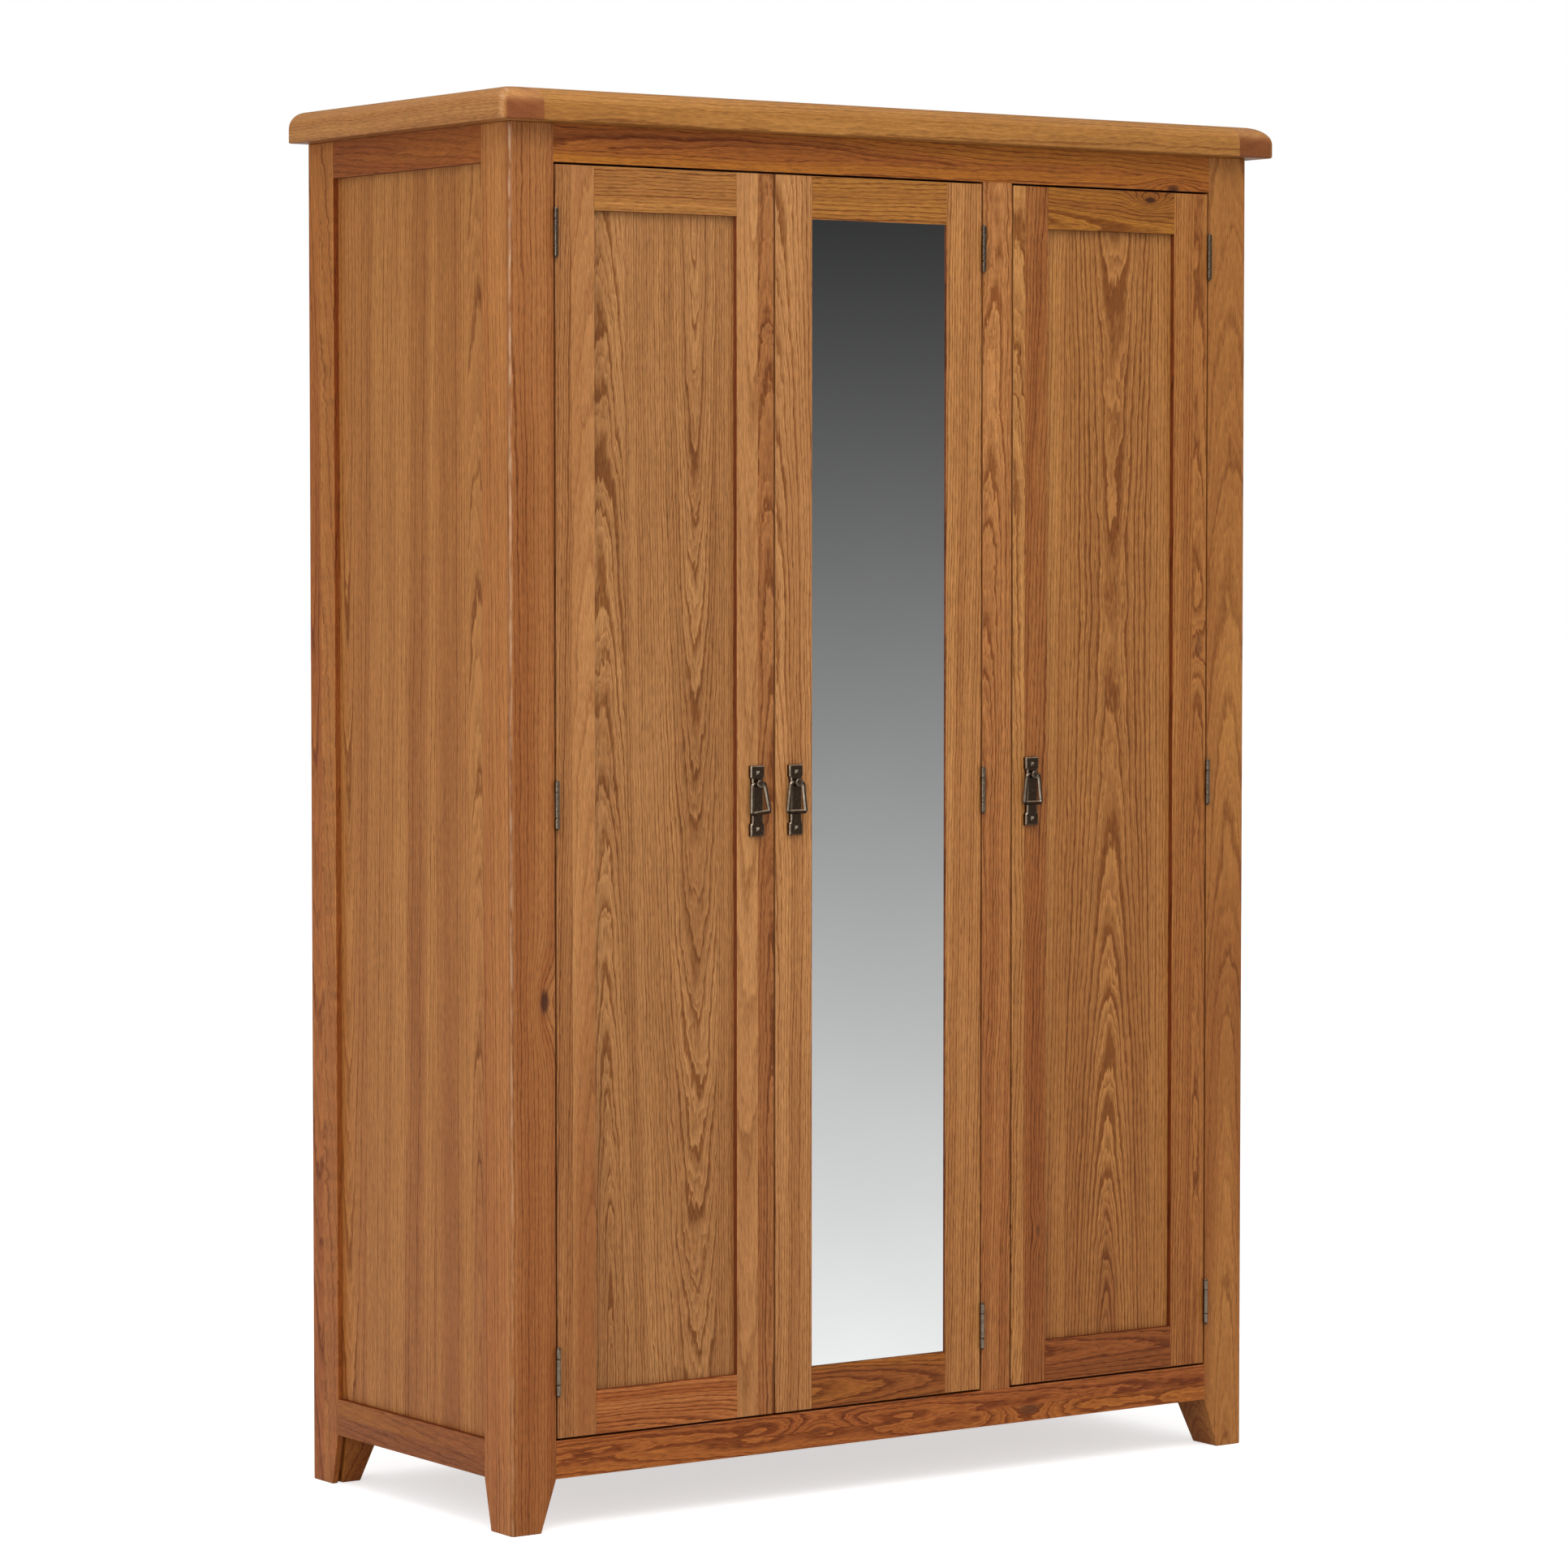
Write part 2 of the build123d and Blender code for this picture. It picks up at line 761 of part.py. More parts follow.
def partition():
    """Upright board behind the mullion, notched over the upper back rail."""
    board = block(partition_x, (frame_y[1], back_board_y[0]), (opening_bottom, top_underside))
    return board - block(bay_x, back_frame_y, top_rail_z)


shelf_y = (front + door_thickness + shelf_setback, back_board_y[0] - fit_play)
shelf_levels = [
    opening_bottom + (opening_top - opening_bottom) * (index + 1) / (shelf_count + 1)
    for index in range(shelf_count)
]


def shelf(side, level):
    """A shelf between the partition and the left (-1) or right (+1) side, its top at level."""
    inner = partition_x[0] if side < 0 else partition_x[1]
    x = grown(sorted((inner, side_inner[side])), -fit_play)
    return around_posts(block(x, shelf_y, (level - shelf_thickness, level)))


def side_cleat(side, top, tall):
    """A bearer between the posts of one side."""
    x = (side_inner[side], side_inner[side] - side * cleat_thickness)
    return block(x, side_y, (top - tall, top))


def partition_cleat(side, top, tall):
    """A bearer on the partition, on its left (-1) or right (+1) face."""
    face = partition_x[0] if side < 0 else partition_x[1]
    y = (front + cleat_end_space, back - cleat_end_space)
    return block((face, face + side * cleat_thickness), y, (top - tall, top))


def cleats():
    """Bearers under the shelves and round the floor board."""
    under_hat = hat_shelf_level - shelf_thickness
    bearers = [side_cleat(-1, under_hat, hat_cleat_height), partition_cleat(-1, under_hat, hat_cleat_height)]
    for level in shelf_levels:
        under = level - shelf_thickness
        bearers += [side_cleat(1, under, cleat_height), partition_cleat(1, under, cleat_height)]
    z = (opening_bottom - floor_thickness - cleat_height, opening_bottom - floor_thickness)
    bearers.append(block(bay_x, (frame_y[1], frame_y[1] + cleat_thickness), z))
    bearers.append(block(bay_x, (back_frame_y[0] - cleat_thickness, back_frame_y[0]), z))
    return joined(bearers)


rail_level = hat_shelf_level - shelf_thickness - hanging_rail_drop
rail_y = (front + back) / 2
socket_faces = (side_inner[-1] + cleat_thickness, partition_x[0] - cleat_thickness)


def hanging_rail():
    """Round pole between the flanges of its two sockets."""
    span = grown(socket_faces, -socket_flange_thickness)
    return cylinder_x(hanging_rail_radius, span, rail_y, rail_level)


def rail_sockets():
    """Flanged cups on the two tall cleats."""
    sockets = []
    for face, inward in zip(socket_faces, (1, -1)):
        flange_end = face + inward * socket_flange_thickness
        cup_end = flange_end + inward * socket_length
        bore = hanging_rail_radius + socket_clearance
        flange = cylinder_x(socket_flange_radius, (face, flange_end), rail_y, rail_level)
        cup = cylinder_x(bore + socket_wall, (flange_end, cup_end), rail_y, rail_level)
        cup -= cylinder_x(bore, (flange_end, cup_end), rail_y, rail_level)
        sockets.append(flange + cup)
    return joined(sockets)


def door_catches():
    """A magnetic catch behind the top rail at each door's lock stile."""
    catches = []
    back_face = frame_y[1]
    for name in doors:
        x = grown((handle_x(name),) * 2, catch_width / 2)
        fixed = block(x, (back_face, back_face + catch_depth), (opening_top, opening_top + catch_overlap))
        face_y = (front + door_thickness + catch_clearance, back_face + catch_depth)
        catches.append(fixed + block(x, face_y, (opening_top - catch_reach, opening_top)))
    return joined(catches)


def without(shape, cuts):
    for cut in cuts:
        shape -= cut
    return shape


def carcass():
    """Every fixed piece, by name."""
    pieces = {}
    pieces["top_field"], pieces["top_end_left"], pieces["top_end_right"] = top_boards()
    for side, side_name in ((-1, "left"), (1, "right")):
        hinged = "left" if side < 0 else "right"
        front_post = corner_post(side, -1)
        pieces[f"post_front_{side_name}"] = without(front_post, hinge_recesses([hinged], False))
        pieces[f"post_back_{side_name}"] = corner_post(side, 1)
        top_rail, bottom_rail = side_rails(side)
        pieces[f"side_rail_top_{side_name}"] = top_rail
        pieces[f"side_rail_bottom_{side_name}"] = bottom_rail
        pieces[f"side_panel_{side_name}"] = side_panel(side, panel_tongue)
    pieces["front_rail_top"], pieces["front_rail_bottom"] = front_rails()
    pieces["mullion"] = without(mullion(), hinge_recesses(["mirror"], False))
    pieces["back_rails"] = back_rails()
    pieces["back_boards"] = back_boards()
    pieces["partition"] = partition()
    pieces["floor_board"] = floor_board()
    pieces["hat_shelf"] = shelf(-1, hat_shelf_level)
    pieces["shelves"] = joined([shelf(1, level) for level in shelf_levels])
    pieces["shelf_cleats"] = cleats()
    pieces["hanging_rail"] = hanging_rail()
    pieces["rail_sockets"] = rail_sockets()
    pieces["door_catches"] = door_catches()
    pieces["frame_hinge_leaves"] = frame_hinge_leaves()
    pieces["frame_hinge_screws"] = frame_hinge_screws()
    pieces["hinge_pins"] = hinge_pins()
    return pieces


def door(name):
    """Every piece of one door and its handle, by name."""
    hinge_stile, lock_stile, top_rail, bottom_rail = door_frame(name)
    pieces = {
        f"door_{name}_hinge_stile": without(hinge_stile, hinge_recesses([name], True)),
        f"door_{name}_lock_stile": without(lock_stile, handle_holes(name)),
        f"door_{name}_rail_top": top_rail,
        f"door_{name}_rail_bottom": bottom_rail,
        f"door_{name}_hinge_leaves": door_hinge_leaves(name),
        f"door_{name}_hinge_screws": door_hinge_screws(name),
        f"handle_{name}_plate": joined([handle_plate(name)] + handle_nails(name)),
        f"handle_{name}_stud": handle_stud(name),
        f"handle_{name}_ring": drop_ring(name),
    }
    if name == "mirror":
        pieces["door_mirror_glass"] = mirror_layer(mirror_recess, mirror_thickness, 0)
        pieces["door_mirror_backing"] = mirror_layer(mirror_recess + mirror_thickness, backing_thickness, 0)
    else:
        pieces[f"door_{name}_panel"] = door_panel(name, panel_tongue)
    return pieces


os.makedirs("parts", exist_ok=True)
wardrobe = carcass()
for door_name in doors:
    wardrobe.update(door(door_name))
for node, shape in wardrobe.items():
    export_step(shape, f"parts/{node}.step")
print(len(wardrobe), "pieces")
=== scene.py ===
"""Looks of an oak wardrobe with three doors, the middle one mirrored.

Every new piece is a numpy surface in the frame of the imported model, in metres:
+X to the right, +Y to the back, +Z up, with the origin on the floor.
"""

import math
from collections import namedtuple
from functools import reduce

import bpy
import numpy as np
from bpy.props import FloatProperty, FloatVectorProperty, PointerProperty
from bpy.types import Operator, Panel, PropertyGroup
from mathutils import Matrix, Vector


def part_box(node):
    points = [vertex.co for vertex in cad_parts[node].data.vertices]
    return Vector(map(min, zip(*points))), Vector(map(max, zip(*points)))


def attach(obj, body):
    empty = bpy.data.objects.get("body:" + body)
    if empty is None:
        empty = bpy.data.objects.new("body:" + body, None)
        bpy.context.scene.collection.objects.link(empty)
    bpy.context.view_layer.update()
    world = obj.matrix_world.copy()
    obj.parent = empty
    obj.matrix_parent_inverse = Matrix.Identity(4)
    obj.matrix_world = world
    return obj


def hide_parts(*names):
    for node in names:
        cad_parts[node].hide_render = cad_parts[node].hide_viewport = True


bl_info = {
    "name": "Oak wardrobe",
    "version": (1, 0, 0),
    "blender": (4, 5, 0),
    "location": "3D View > Sidebar > Wardrobe",
    "description": "Boards, mirror, handles, hinges and studio of an oak wardrobe with three doors",
    "category": "Object",
}

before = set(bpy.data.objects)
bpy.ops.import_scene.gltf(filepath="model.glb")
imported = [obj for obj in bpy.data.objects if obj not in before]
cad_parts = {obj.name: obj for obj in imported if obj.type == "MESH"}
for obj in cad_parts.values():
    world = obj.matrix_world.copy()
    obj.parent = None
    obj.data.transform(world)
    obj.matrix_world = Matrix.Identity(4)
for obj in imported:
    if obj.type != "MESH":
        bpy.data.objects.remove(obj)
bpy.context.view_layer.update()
MM = 0.001
DOORS = ("left", "mirror", "right")
AXES = np.eye(3)
SIDES = np.array([(0, -1), (1, 0), (0, 1), (-1, 0)], float)  # outward: bottom, right, top, left
CORNERS = [(-1, -1), (1, -1), (1, 1), (-1, 1)]
QUARTER = 0.5 * math.pi
CUT_RADIUS = 0.3 * MM  # easing of a groove's edges
TONGUE = 10 * MM  # how deep a side panel sits in its grooves
POST_EASE = 1.5 * MM
NAIL_FROM_END = 10 * MM
RING_GAP = 6.3 * MM  # half the opening of a ring at its stud
DOOR_GAP = 3 * MM
LEAF_HALF = 32 * MM  # half the length of a hinge
LEAF_WIDTH = 18 * MM
LEAF_FACE = 0.2 * MM  # from the middle of the gap to a leaf
LEAF_THICK = 2 * MM
PIN_BEHIND = 3.1 * MM  # from the front of the leaves to the middle of the pin
KNUCKLE_RADIUS = 3.4 * MM


# ---------------------------------------------------------------- sizes and colours
def number(name, value, description, **more):
    kind = FloatVectorProperty if isinstance(value, tuple) else FloatProperty
    return kind(name=name, description=description, default=value, **more)


def length(name, millimetres, description):
    return number(name, millimetres * MM, description, unit="LENGTH")


def tint(name, value, description):
    return number(name, value, description, subtype="COLOR", size=3, min=0, max=1)


class WardrobeBoards(PropertyGroup):
    arris: length("Arris", 0.9, "Radius of the eased long edges")
    joint: length("Joint line", 0.15, "Easing of the ends that butt in a joint")
    post_corner: length("Post corner", 5, "Radius of a post's outer corner")
    foot_height: length("Foot height", 72, "Level below which the posts taper")
    foot_width: length("Foot width", 46, "Width of a foot at the floor")
    foot_depth: length("Foot depth", 55, "Depth of a foot at the floor")
    round_height: length("Round-over height", 25, "Height of the top's round-over")
    round_depth: length("Round-over depth", 31, "Depth of the top's round-over")
    top_corner: length("Top corner", 10, "Radius of the top's front corners")
    top_arris: length("Top lower arris", 2.5, "Radius under the rim of the top")


class WardrobeHandles(PropertyGroup):
    bevel: length("Plate bevel", 1.5, "Bevel round the back plate")
    waist: length("Plate waist", 18.2, "Width of the back plate at its middle")
    ring_bar: length("Ring bar", 6.2, "Width of the ring's bar")
    ring_bevel: length("Ring bevel", 1.9, "Bevel along the ring's bar")
    ring_top: length("Ring top width", 26, "Width of the ring at its bar")
    ring_swing: number("Ring lean", math.radians(6), "How far the left ring hangs off plumb",
                       subtype="ANGLE")


class WardrobeFinish(PropertyGroup):
    honey: tint("Honey", (0.50, 0.232, 0.078), "Oiled oak between the grain lines")
    heart: tint("Heart", (0.36, 0.098, 0.018), "Redder oak of the heart boards")
    gold: tint("Gold", (0.47, 0.195, 0.012), "Yellower oak of some rails and of the top")
    line: tint("Grain line", (0.50, 0.36, 0.22), "What the open pores leave of the colour")
    knot: tint("Knot", (0.055, 0.012, 0.006), "Middle of a knot")
    # Pale oak of edges where the lacquer has gone, also used as a painted highlight along rounded corners
    # and eased edges.
    worn_and_highlit: tint("Rubbed edge", (0.66, 0.43, 0.27), "Oak where the lacquer has gone from an edge")
    bronze: tint("Bronze", (0.062, 0.034, 0.019), "Dark antique metal")
    # Bright metal of polished spots, also used for painted highlights on bevels, rims and knuckles.
    rubbed_and_highlit: tint("Rubbed metal", (0.72, 0.58, 0.43), "Metal where hands and edges rub it")
    steel: tint("Steel", (0.62, 0.61, 0.60), "Plated steel inside")
    silver: tint("Silver", (0.93, 0.94, 0.94), "Silvering of the mirror")
    # Painted shade: the oak turns darker and redder towards the floor.
    foot_shade: number("Foot warmth", 0.2, "How much redder the oak is at the floor", min=0, max=1)
    roughness: number("Lacquer roughness", 0.42, "Roughness of the satin lacquer", min=0, max=1)


class WardrobeStudio(PropertyGroup):
    lens: number("Lens", 119.98, "Focal length on a 36 mm sensor", unit="CAMERA")
    camera_place: number("Camera", (-4.3372, -6.1997, 1.3620), "Where the camera stands",
                         subtype="TRANSLATION")
    camera_turn: number("Camera turn", (math.radians(87.185), 0, math.radians(-34.894)),
                        "How the camera is turned", subtype="EULER")
    sky: number("Sky", 0.78, "Strength of the even light from all round")
    pale_slope: number("Mirrored slope", (-0.168, 0.062), "Slopes between which the mirrored studio darkens",
                       size=2)
    pale_tone: number("Mirrored tone", (1.10, 0.24), "Tone of the mirrored studio at those slopes", size=2)
    overhead_tone: number("Overhead tone", 0.85, "Tone of the mirrored studio overhead")
    key: number("Key light", 95, "Power of the large soft light above", unit="POWER")
    side: number("Side light", 22, "Power of the tall strip at the left", unit="POWER")


def settings(name):
    """One of the property groups of the scene."""
    return getattr(bpy.context.scene, "wardrobe_" + name)


# ---------------------------------------------------------------- surfaces
# A closed surface: points, faces as runs of point numbers, a normal for each face corner, and a mark of each
# point that pales or darkens its colour: scuffs and staining, with painted highlight and painted shade.
Form = namedtuple("Form", "points runs sizes normals wear")


def unit(vectors):
    """Vectors brought to a length of 1."""
    return vectors / np.linalg.norm(vectors, axis=-1)[..., None]


def outline(corners, radii, inset=0.0, steps=4):
    """Rounded outlines, counter-clockwise, one for each inset.

    A corner drawn in by an inset moves inset / sin(half its angle) along its bisector. Its arc's
    centre lies radius / sin(half) further, and its normal turns evenly from edge to edge.
    Returns points (insets, n, 2) and their outward normals.
    """
    corner = np.asarray(corners, float)
    before = unit(np.roll(corner, 1, 0) - corner)
    after = unit(np.roll(corner, -1, 0) - corner)
    first = np.stack([-before[:, 1], before[:, 0]], 1)
    second = np.stack([after[:, 1], -after[:, 0]], 1)
    cross = first[:, 0] * second[:, 1] - first[:, 1] * second[:, 0]
    turn = np.arctan2(cross, (first * second).sum(1))
    bisector = unit(before + after)
    half_sine = np.sin(0.5 * np.arccos(np.clip((before * after).sum(1), -1, 1)))
    bulge = np.sign(turn)
    inset = np.atleast_1d(inset).astype(float)[:, None]
    radius = np.broadcast_to(np.asarray(radii, float), corner.shape[:1])
    radius = np.where(bulge > 0, np.maximum(radius - inset, 0.3 * radius), radius + inset)
    centre = corner + bisector * ((bulge * inset + radius) / half_sine)[..., None]
    angle = np.arctan2(first[:, 1], first[:, 0])[:, None] + turn[:, None] * np.linspace(0, 1, steps + 1)
    normal = np.stack([np.cos(angle), np.sin(angle)], -1)
    points = centre[:, :, None] + (bulge * radius)[..., None, None] * normal
    shape = (len(inset), -1, 2)
    return points.reshape(shape), np.broadcast_to(normal, points.shape).reshape(shape)


def circle(radius, inset=0.0, count=32):
    """Circles about the origin: radius less inset times (cosine, sine) of the angle."""
    angle = np.linspace(0, 2 * math.pi, count, endpoint=False)
    normal = np.stack([np.cos(angle), np.sin(angle)], -1)[None]
    size = (radius - np.atleast_1d(inset).astype(float))[:, None, None]
    return size * normal, np.broadcast_to(normal, (size.shape[0], count, 2))


def mid_arc(count, steps):
    """1 in the middle of each rounded corner of an outline, falling to 0 at its two ends."""
    return np.tile(1 - np.abs(np.linspace(-1, 1, steps + 1)), count)


def eased_ends(low, high, radius, steps=3):
    """Stations of a straight run whose two ends are quarter rounds.

    At a turn t from the end face the surface is drawn in by radius * (1 - cos t) and lies
    radius * (1 - sin t) from the end. Returns place, inset and tilt of the normal.
    """
    turn = np.linspace(QUARTER, 0, steps + 1)
    along = radius * (1 - np.sin(turn))
    inset = radius * (1 - np.cos(turn))
    place = np.concatenate([low + along, high - along[::-1]])
    return place, np.concatenate([inset, inset[::-1]]), np.concatenate([-turn, turn[::-1]])


def closed_grid(points, normals, wear=0.0):
    """A tube of quads from a grid of rows and closed columns, with a flat cap at each end.

    The columns run backwards where the faces would otherwise turn against the normals.
    """
    rows, columns = points.shape[:2]
    index = np.arange(rows * columns).reshape(rows, columns)
    turned_out = np.cross(np.roll(points, -1, 1)[:-1] - points[:-1], np.diff(points, axis=0))
    if (turned_out * normals[:-1]).sum() < 0:
        index = index[:, ::-1]
    beside = np.roll(index, -1, 1)
    runs = np.stack([index[:-1], beside[:-1], beside[1:], index[1:]], -1).reshape(-1)
    sizes = np.full(runs.size // 4, 4)
    points, corner_normals = points.reshape(-1, 3), normals.reshape(-1, 3)[runs]
    for ring in (index[0][::-1], index[-1]):
        area = np.cross(points[ring], np.roll(points[ring], -1, 0)).sum(0)
        runs = np.concatenate([runs, ring])
        sizes = np.append(sizes, columns)
        corner_normals = np.concatenate([corner_normals, np.broadcast_to(unit(area), (columns, 3))])
    return Form(points, runs, sizes, corner_normals, np.broadcast_to(wear, (rows, columns)).reshape(-1))


def carried(section, normals, place, tilt, grain, slope=0.0, wear=0.0):
    """Sections carried along an axis of the frame.

    Point = section(a, b) and place along the axis. Normal = the section's normal times cos(tilt),
    and sin(tilt) along the axis, less what the section's own slope along the axis takes.
    """
    points = np.empty(section.shape[:2] + (3,))
    out = np.empty(points.shape)
    beside = [(grain + 1) % 3, (grain + 2) % 3]
    normals = np.broadcast_to(normals, section.shape)
    tilt = np.asarray(tilt)[:, None]
    points[..., beside] = section
    points[..., grain] = place[:, None]
    out[..., beside] = np.cos(tilt)[..., None] * normals
    out[..., grain] = np.sin(tilt) - (normals * slope).sum(-1)
    return closed_grid(points, unit(out), wear)


def facing(section, normals, out, tilt, middle, wear):
    """A section in X and Z, counter-clockwise as seen from the front, carried towards the viewer."""
    lean = tilt[:, None]
    points = with_depth(section + middle[[0, 2]], middle[1] - out[:, None])
    return closed_grid(points, with_depth(np.cos(lean)[..., None] * normals, -np.sin(lean)), wear)


def with_depth(upright, depth):
    """Vectors whose X and Z are a pair, with the depth given as their Y."""
    return np.stack([upright[..., 0], np.broadcast_to(depth, upright.shape[:-1]), upright[..., 1]], -1)


def turned(radius, place, origin, grain, flip=1, count=32, wear=0.0):
    """A turned shape: a circle of each radius at each place along an axis of the frame from an origin.

    The normal leans by the fall of the radius along the axis.
    """
    radius, place = np.asarray(radius, float), np.asarray(place, float)
    tilt = np.arctan2(-np.gradient(radius), np.gradient(place))
    section, normals = circle(0.0, -radius, count)
    wear = np.broadcast_to(wear, radius.shape)
    if flip < 0:
        section, normals, wear = section[::-1], normals[::-1], wear[::-1]
        place, tilt = -place[::-1], -tilt[::-1]
    return moved(carried(section, normals, place, tilt, grain, wear=wear[:, None]), origin)


def moved(form, offset):
    return form._replace(points=form.points + np.asarray(offset, float))


def cut_corners(low, high, radii, cuts):
    """Corners of a rectangle, counter-clockwise, with a groove or rebate in some sides.

    Sides run 0 bottom, 1 right, 2 top, 3 left. A cut is (start, end, depth) along its side, in the
    side's direction; one that reaches the end of its side is a rebate.
    """
    (a0, b0), (a1, b1) = low, high
    corner = np.array([(a0, b0), (a1, b0), (a1, b1), (a0, b1)], float)
    sides, skip = [], set()
    for side in range(4):
        start, stop = corner[side], corner[(side + 1) % 4]
        span = np.linalg.norm(stop - start)
        along = (stop - start) / span
        own = [(start, radii[side])]
        if side in cuts:
            first, last, depth = cuts[side]
            deep = -SIDES[side] * depth
            if first > 0:
                own += [(start + along * first, CUT_RADIUS), (start + along * first + deep, CUT_RADIUS)]
            else:
                own = [(start + deep, CUT_RADIUS)]
            if last < span:
                own += [(start + along * last + deep, CUT_RADIUS), (start + along * last, CUT_RADIUS)]
            else:
                own += [(stop + deep, CUT_RADIUS)]
                skip.add((side + 1) % 4)
        sides.append(own)
    flat = [entry for side, own in enumerate(sides) for entry in own[int(side in skip):]]
    return np.array([point for point, _ in flat]), np.array([radius for _, radius in flat])


def stain_and_shade(normals, cuts):
    """Darkening of a recess wall, partly staining and partly painted shade: full on the side that is cut,
    and none on the faces beside it.
    """
    held = np.zeros(len(normals))
    for side in cuts:
        held = np.maximum(held, np.clip(normals @ SIDES[side], 0, 1) ** 3)
    return -held


def board(low, high, grain, radius, end_radius, cuts=None):
    """A board between two corners of the frame: its section carried along the grain axis."""
    low, high = np.asarray(low, float), np.asarray(high, float)
    beside = [(grain + 1) % 3, (grain + 2) % 3]
    place, inset, tilt = eased_ends(low[grain], high[grain], end_radius)
    cuts = cuts or {}
    corners, sizes = cut_corners(low[beside], high[beside], np.full(4, radius), cuts)
    section, normals = outline(corners, sizes, inset)
    # The middles of the eased edges are paled (lacquer gone and painted highlight); the groove walls are
    # darkened (staining and painted shade).
    wear = 0.3 * mid_arc(len(corners), 4) + stain_and_shade(normals[0], cuts)
    return carried(section, normals, place, tilt, grain, wear=wear[None])


def box_of(*nodes):
    """Lowest and highest corner of some CAD nodes, as arrays."""
    lows, highs = zip(*(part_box(node) for node in nodes))
    return np.min(np.array(lows), 0), np.max(np.array(highs), 0)


def add_piece(name, forms, body, material, slot, *nodes):
    """Puts forms into one mesh whose object sits at the origin, and ties it to the frame."""
    forms = forms if isinstance(forms, list) else [forms]
    starts = np.cumsum([0] + [len(form.points) for form in forms[:-1]])
    forms = [form._replace(runs=form.runs + start) for form, start in zip(forms, starts)]
    points, runs, sizes, normals, wear = (np.concatenate(part) for part in zip(*forms))
    mesh = bpy.data.meshes.new(name)
    mesh.vertices.add(len(points))
    mesh.vertices.foreach_set("co", points.astype(np.float32).ravel())
    mesh.loops.add(len(runs))
    mesh.loops.foreach_set("vertex_index", runs.astype(np.int32))
    mesh.polygons.add(len(sizes))
    mesh.polygons.foreach_set("loop_start", (np.cumsum(sizes) - sizes).astype(np.int32))
    mesh.polygons.foreach_set("use_smooth", np.ones(len(sizes), bool))
    mesh.update(calc_edges=True)
    mesh.attributes.new("wear", "FLOAT", "POINT").data.foreach_set("value", wear.astype(np.float32))
    mesh.normals_split_custom_set(normals.astype(np.float32))
    mesh.materials.append(material)
    piece = bpy.data.objects.new(name, mesh)
    bpy.context.scene.collection.objects.link(piece)
    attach(piece, body)
    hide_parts(*nodes)


# ---------------------------------------------------------------- node helpers
class Graph:
    """Adds nodes to a tree. A value that is a socket is linked, and any other is set."""

    def __init__(self, tree):
        self.tree = tree

    def node(self, kind, inputs=None, **settings):
        node = self.tree.nodes.new(kind)
        for key, value in settings.items():
            setattr(node, key, value)
        for key, value in (inputs or {}).items():
            self.feed(node.inputs[key], value)
        return node

    def feed(self, socket, value):
        if isinstance(value, bpy.types.NodeSocket):
            self.tree.links.new(value, socket)
        elif socket.type == "RGBA":
            socket.default_value = (*value[:3], 1.0)
        else:
            socket.default_value = value

    def group(self, name, inputs):
        return self.node("ShaderNodeGroup", inputs, node_tree=bpy.data.node_groups[name]).outputs

    def maths(self, operation, *values, clamp=False):
        inputs = dict(enumerate(values))
        return self.node("ShaderNodeMath", inputs, operation=operation, use_clamp=clamp).outputs[0]

    def plus(self, *values, clamp=False):
        """A sum taken from left to right, of which only the end may be clamped."""
        return self.maths("ADD", reduce(self.plus, values[:-1]), values[-1], clamp=clamp)

    def times(self, *values, clamp=False):
        """A product taken from left to right, of which only the end may be clamped."""
        return self.maths("MULTIPLY", reduce(self.times, values[:-1]), values[-1], clamp=clamp)

    def vector(self, operation, *values):
        node = self.node("ShaderNodeVectorMath", dict(enumerate(values)), operation=operation)
        return node.outputs["Value" if operation == "LENGTH" else "Vector"]

    def scaled(self, vector, scale):
        """A vector times one number, which may be a socket."""
        inputs = {0: vector, "Scale": scale}
        return self.node("ShaderNodeVectorMath", inputs, operation="SCALE").outputs[0]

    def remap(self, value, low, high, to_low=0.0, to_high=1.0, smooth=False):
        inputs = {"Value": value, "From Min": low, "From Max": high, "To Min": to_low, "To Max": to_high}
        kind = "SMOOTHSTEP" if smooth else "LINEAR"
        return self.node("ShaderNodeMapRange", inputs, interpolation_type=kind).outputs["Result"]

    def blend(self, factor, a, b, kind="MIX"):
        inputs = {0: factor, 6: a, 7: b}
        return self.node("ShaderNodeMix", inputs, data_type="RGBA", blend_type=kind).outputs[2]

    def tinted(self, colour, tint):
        return self.blend(1.0, colour, tint, "MULTIPLY")

    def noise(self, vector, scale=1.0, detail=2.0, roughness=0.5):
        inputs = {"Vector": vector, "Scale": scale, "Detail": detail, "Roughness": roughness}
        return self.node("ShaderNodeTexNoise", inputs).outputs

    def mottle(self, place, scale, low, high, to_low, to_high, detail=1.0):
        """Noise with a scale of its own along each axis, remapped."""
        grey = self.noise(self.vector("MULTIPLY", place, scale), detail=detail)["Fac"]
        return self.remap(grey, low, high, to_low, to_high)

    def split(self, vector):
        return self.node("ShaderNodeSeparateXYZ", {"Vector": vector}).outputs

    def join(self, x, y, z):
        return self.node("ShaderNodeCombineXYZ", {"X": x, "Y": y, "Z": z}).outputs[0]

    def parts(self, value):
        """The three numbers of a vector, whether it is a socket or a constant."""
        return list(self.split(value)) if isinstance(value, bpy.types.NodeSocket) else list(value)

    def wear(self):
        return self.node("ShaderNodeAttribute", attribute_name="wear").outputs["Fac"]


